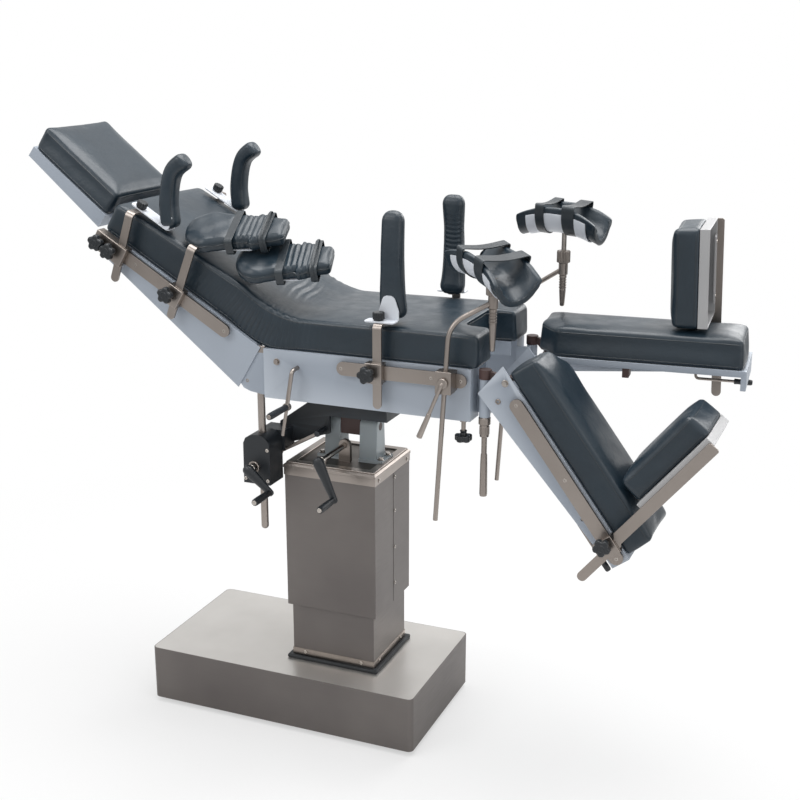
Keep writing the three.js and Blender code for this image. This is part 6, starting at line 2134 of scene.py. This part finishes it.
        piece.move_points(flare)
        loops = []
        for x in (-half + 4, half - 4):
            ring = [*arc_points((0, 0), outer, -90 - arc + 6, -90 + arc - 6, 40),
                    *arc_points((0, 0), self.inner, -90 + arc - 6, -90 - arc + 6, 36)]
            loops.append(seam_on(piece, [(x, y, z - self._drop_at(x)) for y, z in ring], 1.4, 0.3))
        upholster(self.shop, piece, loops[0].with_all(loops[1]), f"trough_padding_{label}", body, matrix,
                  [f"leg_holder_trough_{label}"])
        section = [*arc_points((0, 0), outer + 5.4, -90 - 80, -90 + 80, 40),
                   *arc_points((0, 0), outer + 2.0, -90 + 80, -90 - 80, 40)]
        shell = Piece.loft(np.array([[(x, y, z - self._drop_at(x)) for y, z in section]
                                     for x in np.linspace(-88, 88, 13)]))
        shell.soften(1.0, 2, 50).put(matrix).finish(f"trough_shell_{label}", body, self.shop.plate)
        straps = [self._strap(-60, -34, 0.0), self._strap(18, 54, 2.0)]
        straps[0].with_all(straps[1]).put(matrix).finish(f"trough_straps_{label}", body, self.shop.strap, (),
                                                         50)

    def _drop_at(self, x: Array | float) -> Array | float:
        """How far the trough has bent down that far from its middle."""
        return self.drop * (x / (self.length / 2)) ** 2

    def _strap(self, x0: float, x1: float, arch: float) -> Piece:
        """A strap round the trough and over its opening."""
        outer = self.inner + self.wall

        def loop(radius: float) -> Flat:
            """The strap's section at that radius, flatter across the top."""
            points = []
            for angle in np.radians(np.linspace(0, 360, 72, endpoint=False)):
                y, z = radius * math.cos(angle), radius * math.sin(angle)
                top = radius - outer + 9.0 + arch
                if z > 0:
                    z = top * math.tanh(z / top) - 7.0 * max(0.0, 1 - (y / radius) ** 2) ** 1.5
                points.append((y * (1 + 0.07 * max(0.0, math.sin(angle)) ** 0.5 * abs(math.cos(angle))), z))
            return points

        band = Piece.plate(loop(outer + 7.8), Axis.X, x0, x1)
        band.minus(Piece.plate(loop(outer + 4.6), Axis.X, x0 - 5, x1 + 5)).sheet_edges(0.7)
        return band.put(shift(0, 0, -self._drop_at((x0 + x1) / 2)))


@dataclass
class UnderKnob:
    """The star knob under the seat's near corner."""

    shop: Shop

    def build(self) -> None:
        """Builds the stem and the knob."""
        place = Place(349.529, -193.764, 1027.0).matrix
        stem = Piece.turned([(0, -34), (6, -34), (6, 20), (0, 20)], 24)
        stem.with_all(Piece.turned([(6.1, -6), (9.5, -6), (9.5, -0.6), (6.1, -0.6), (6.1, -6)], 28))
        stem.put(place).finish("leg_lock_stem", "leg_lock", self.shop.steel, ["leg_lock_knob"])
        self.shop.knob("leg_lock_star", "leg_lock", place, (0, 0, -30), (0, 0, -1))


class Accessories:
    """The legs, supports and leg holders of both sides."""

    LEGS = (
        LegForm(Side.NEAR, Place(405.529, -187.764, 1167, side=Side.NEAR),
                Place(465.529, -95.264, 1140, lean=53.6, side=Side.NEAR),
                Place(681.55, -95.264, 799.82, lean=53.6, side=Side.NEAR),
                Place(760.63, -95.264, 736.37, lean=53.6, side=Side.NEAR), 14.0, 142.0, 396.0),
        LegForm(Side.FAR, Place(405.529, 224.236, 1167, swing=4.5), Place(472.599, 136.733, 1140, swing=4.5),
                Place(873.36, 168.27, 1112, swing=4.5), Place(926.20, 172.43, 1138, swing=4.5),
                2.0, 121.0, 382.0),
    )
    HOLDERS = (
        HolderForm(Side.NEAR, Place(315.529, MID_Y, 1138, side=Side.NEAR),
                   Place(421.83, -185.764, 1345, side=Side.NEAR), 384, 152, (97, 60, 55), 16, 35, -14, 112),
        HolderForm(Side.FAR, Place(315.529, MID_Y, 1138), Place(482.81, 246.236, 1362), 446, 119,
                   (160, 36, 105), 70, -6, -4, 90),
    )

    def __init__(self, shop: Shop) -> None:
        self.shop = shop

    def build(self) -> None:
        """Builds the legs, the supports, the arm units and the leg holders."""
        shop = self.shop
        for form in self.LEGS:
            Leg(shop, form).build()
        near, far = Side.NEAR, Side.FAR
        SideSupport(shop, near, Place(121.529, MID_Y, 1138, side=near),
                    Place(121.53, -207.764, 1271, side=near), (1.12, 1.04, 0.97, 0.86)).build()
        SideSupport(shop, far, Place(153.529, MID_Y, 1138), Place(153.53, 244.236, 1271),
                    (1.12, 0.98, 0.9, 0.98), 0.6).build()
        ShoulderSupport(shop, near, Place(-620.70, -190.264, 1525.65, lean=BACK_ANGLE, side=near)).build()
        ShoulderSupport(shop, far, Place(-620.70, 226.736, 1525.65, lean=BACK_ANGLE)).build()
        ArmUnit(shop, near, Place(-485.91, MID_Y, 1293.44, lean=BACK_ANGLE, side=near),
                Place(-426.02, -208.264, 1443.74, side=near), BarForm(66, 158, 214, 9.5),
                (80, -78, 16, -11, 2.0, -26), (16, -44, 10)).build()
        ArmUnit(shop, far, Place(-373.62, MID_Y, 1225.97, lean=BACK_ANGLE), Place(-317.40, -65.264, 1366.97),
                BarForm(66, 148, -96, 9.5), (116, -60, 20, 14, 3.0, 28), (52, -34, 24), 276.0).build()
        for holder in self.HOLDERS:
            LegHolder(shop, holder).build()


def main() -> None:
    """Builds the table piece by piece."""
    Studio().build()
    shop = Shop()
    BaseAndColumn(shop).build()
    TiltDrive(shop).build()
    Frames(shop).build()
    BackCrank(shop).build()
    UnderKnob(shop).build()
    Mattress(shop).build()
    Cushions(shop).build()
    Accessories(shop).build()
    shop.put_away()


if __name__ == "__main__":
    main()
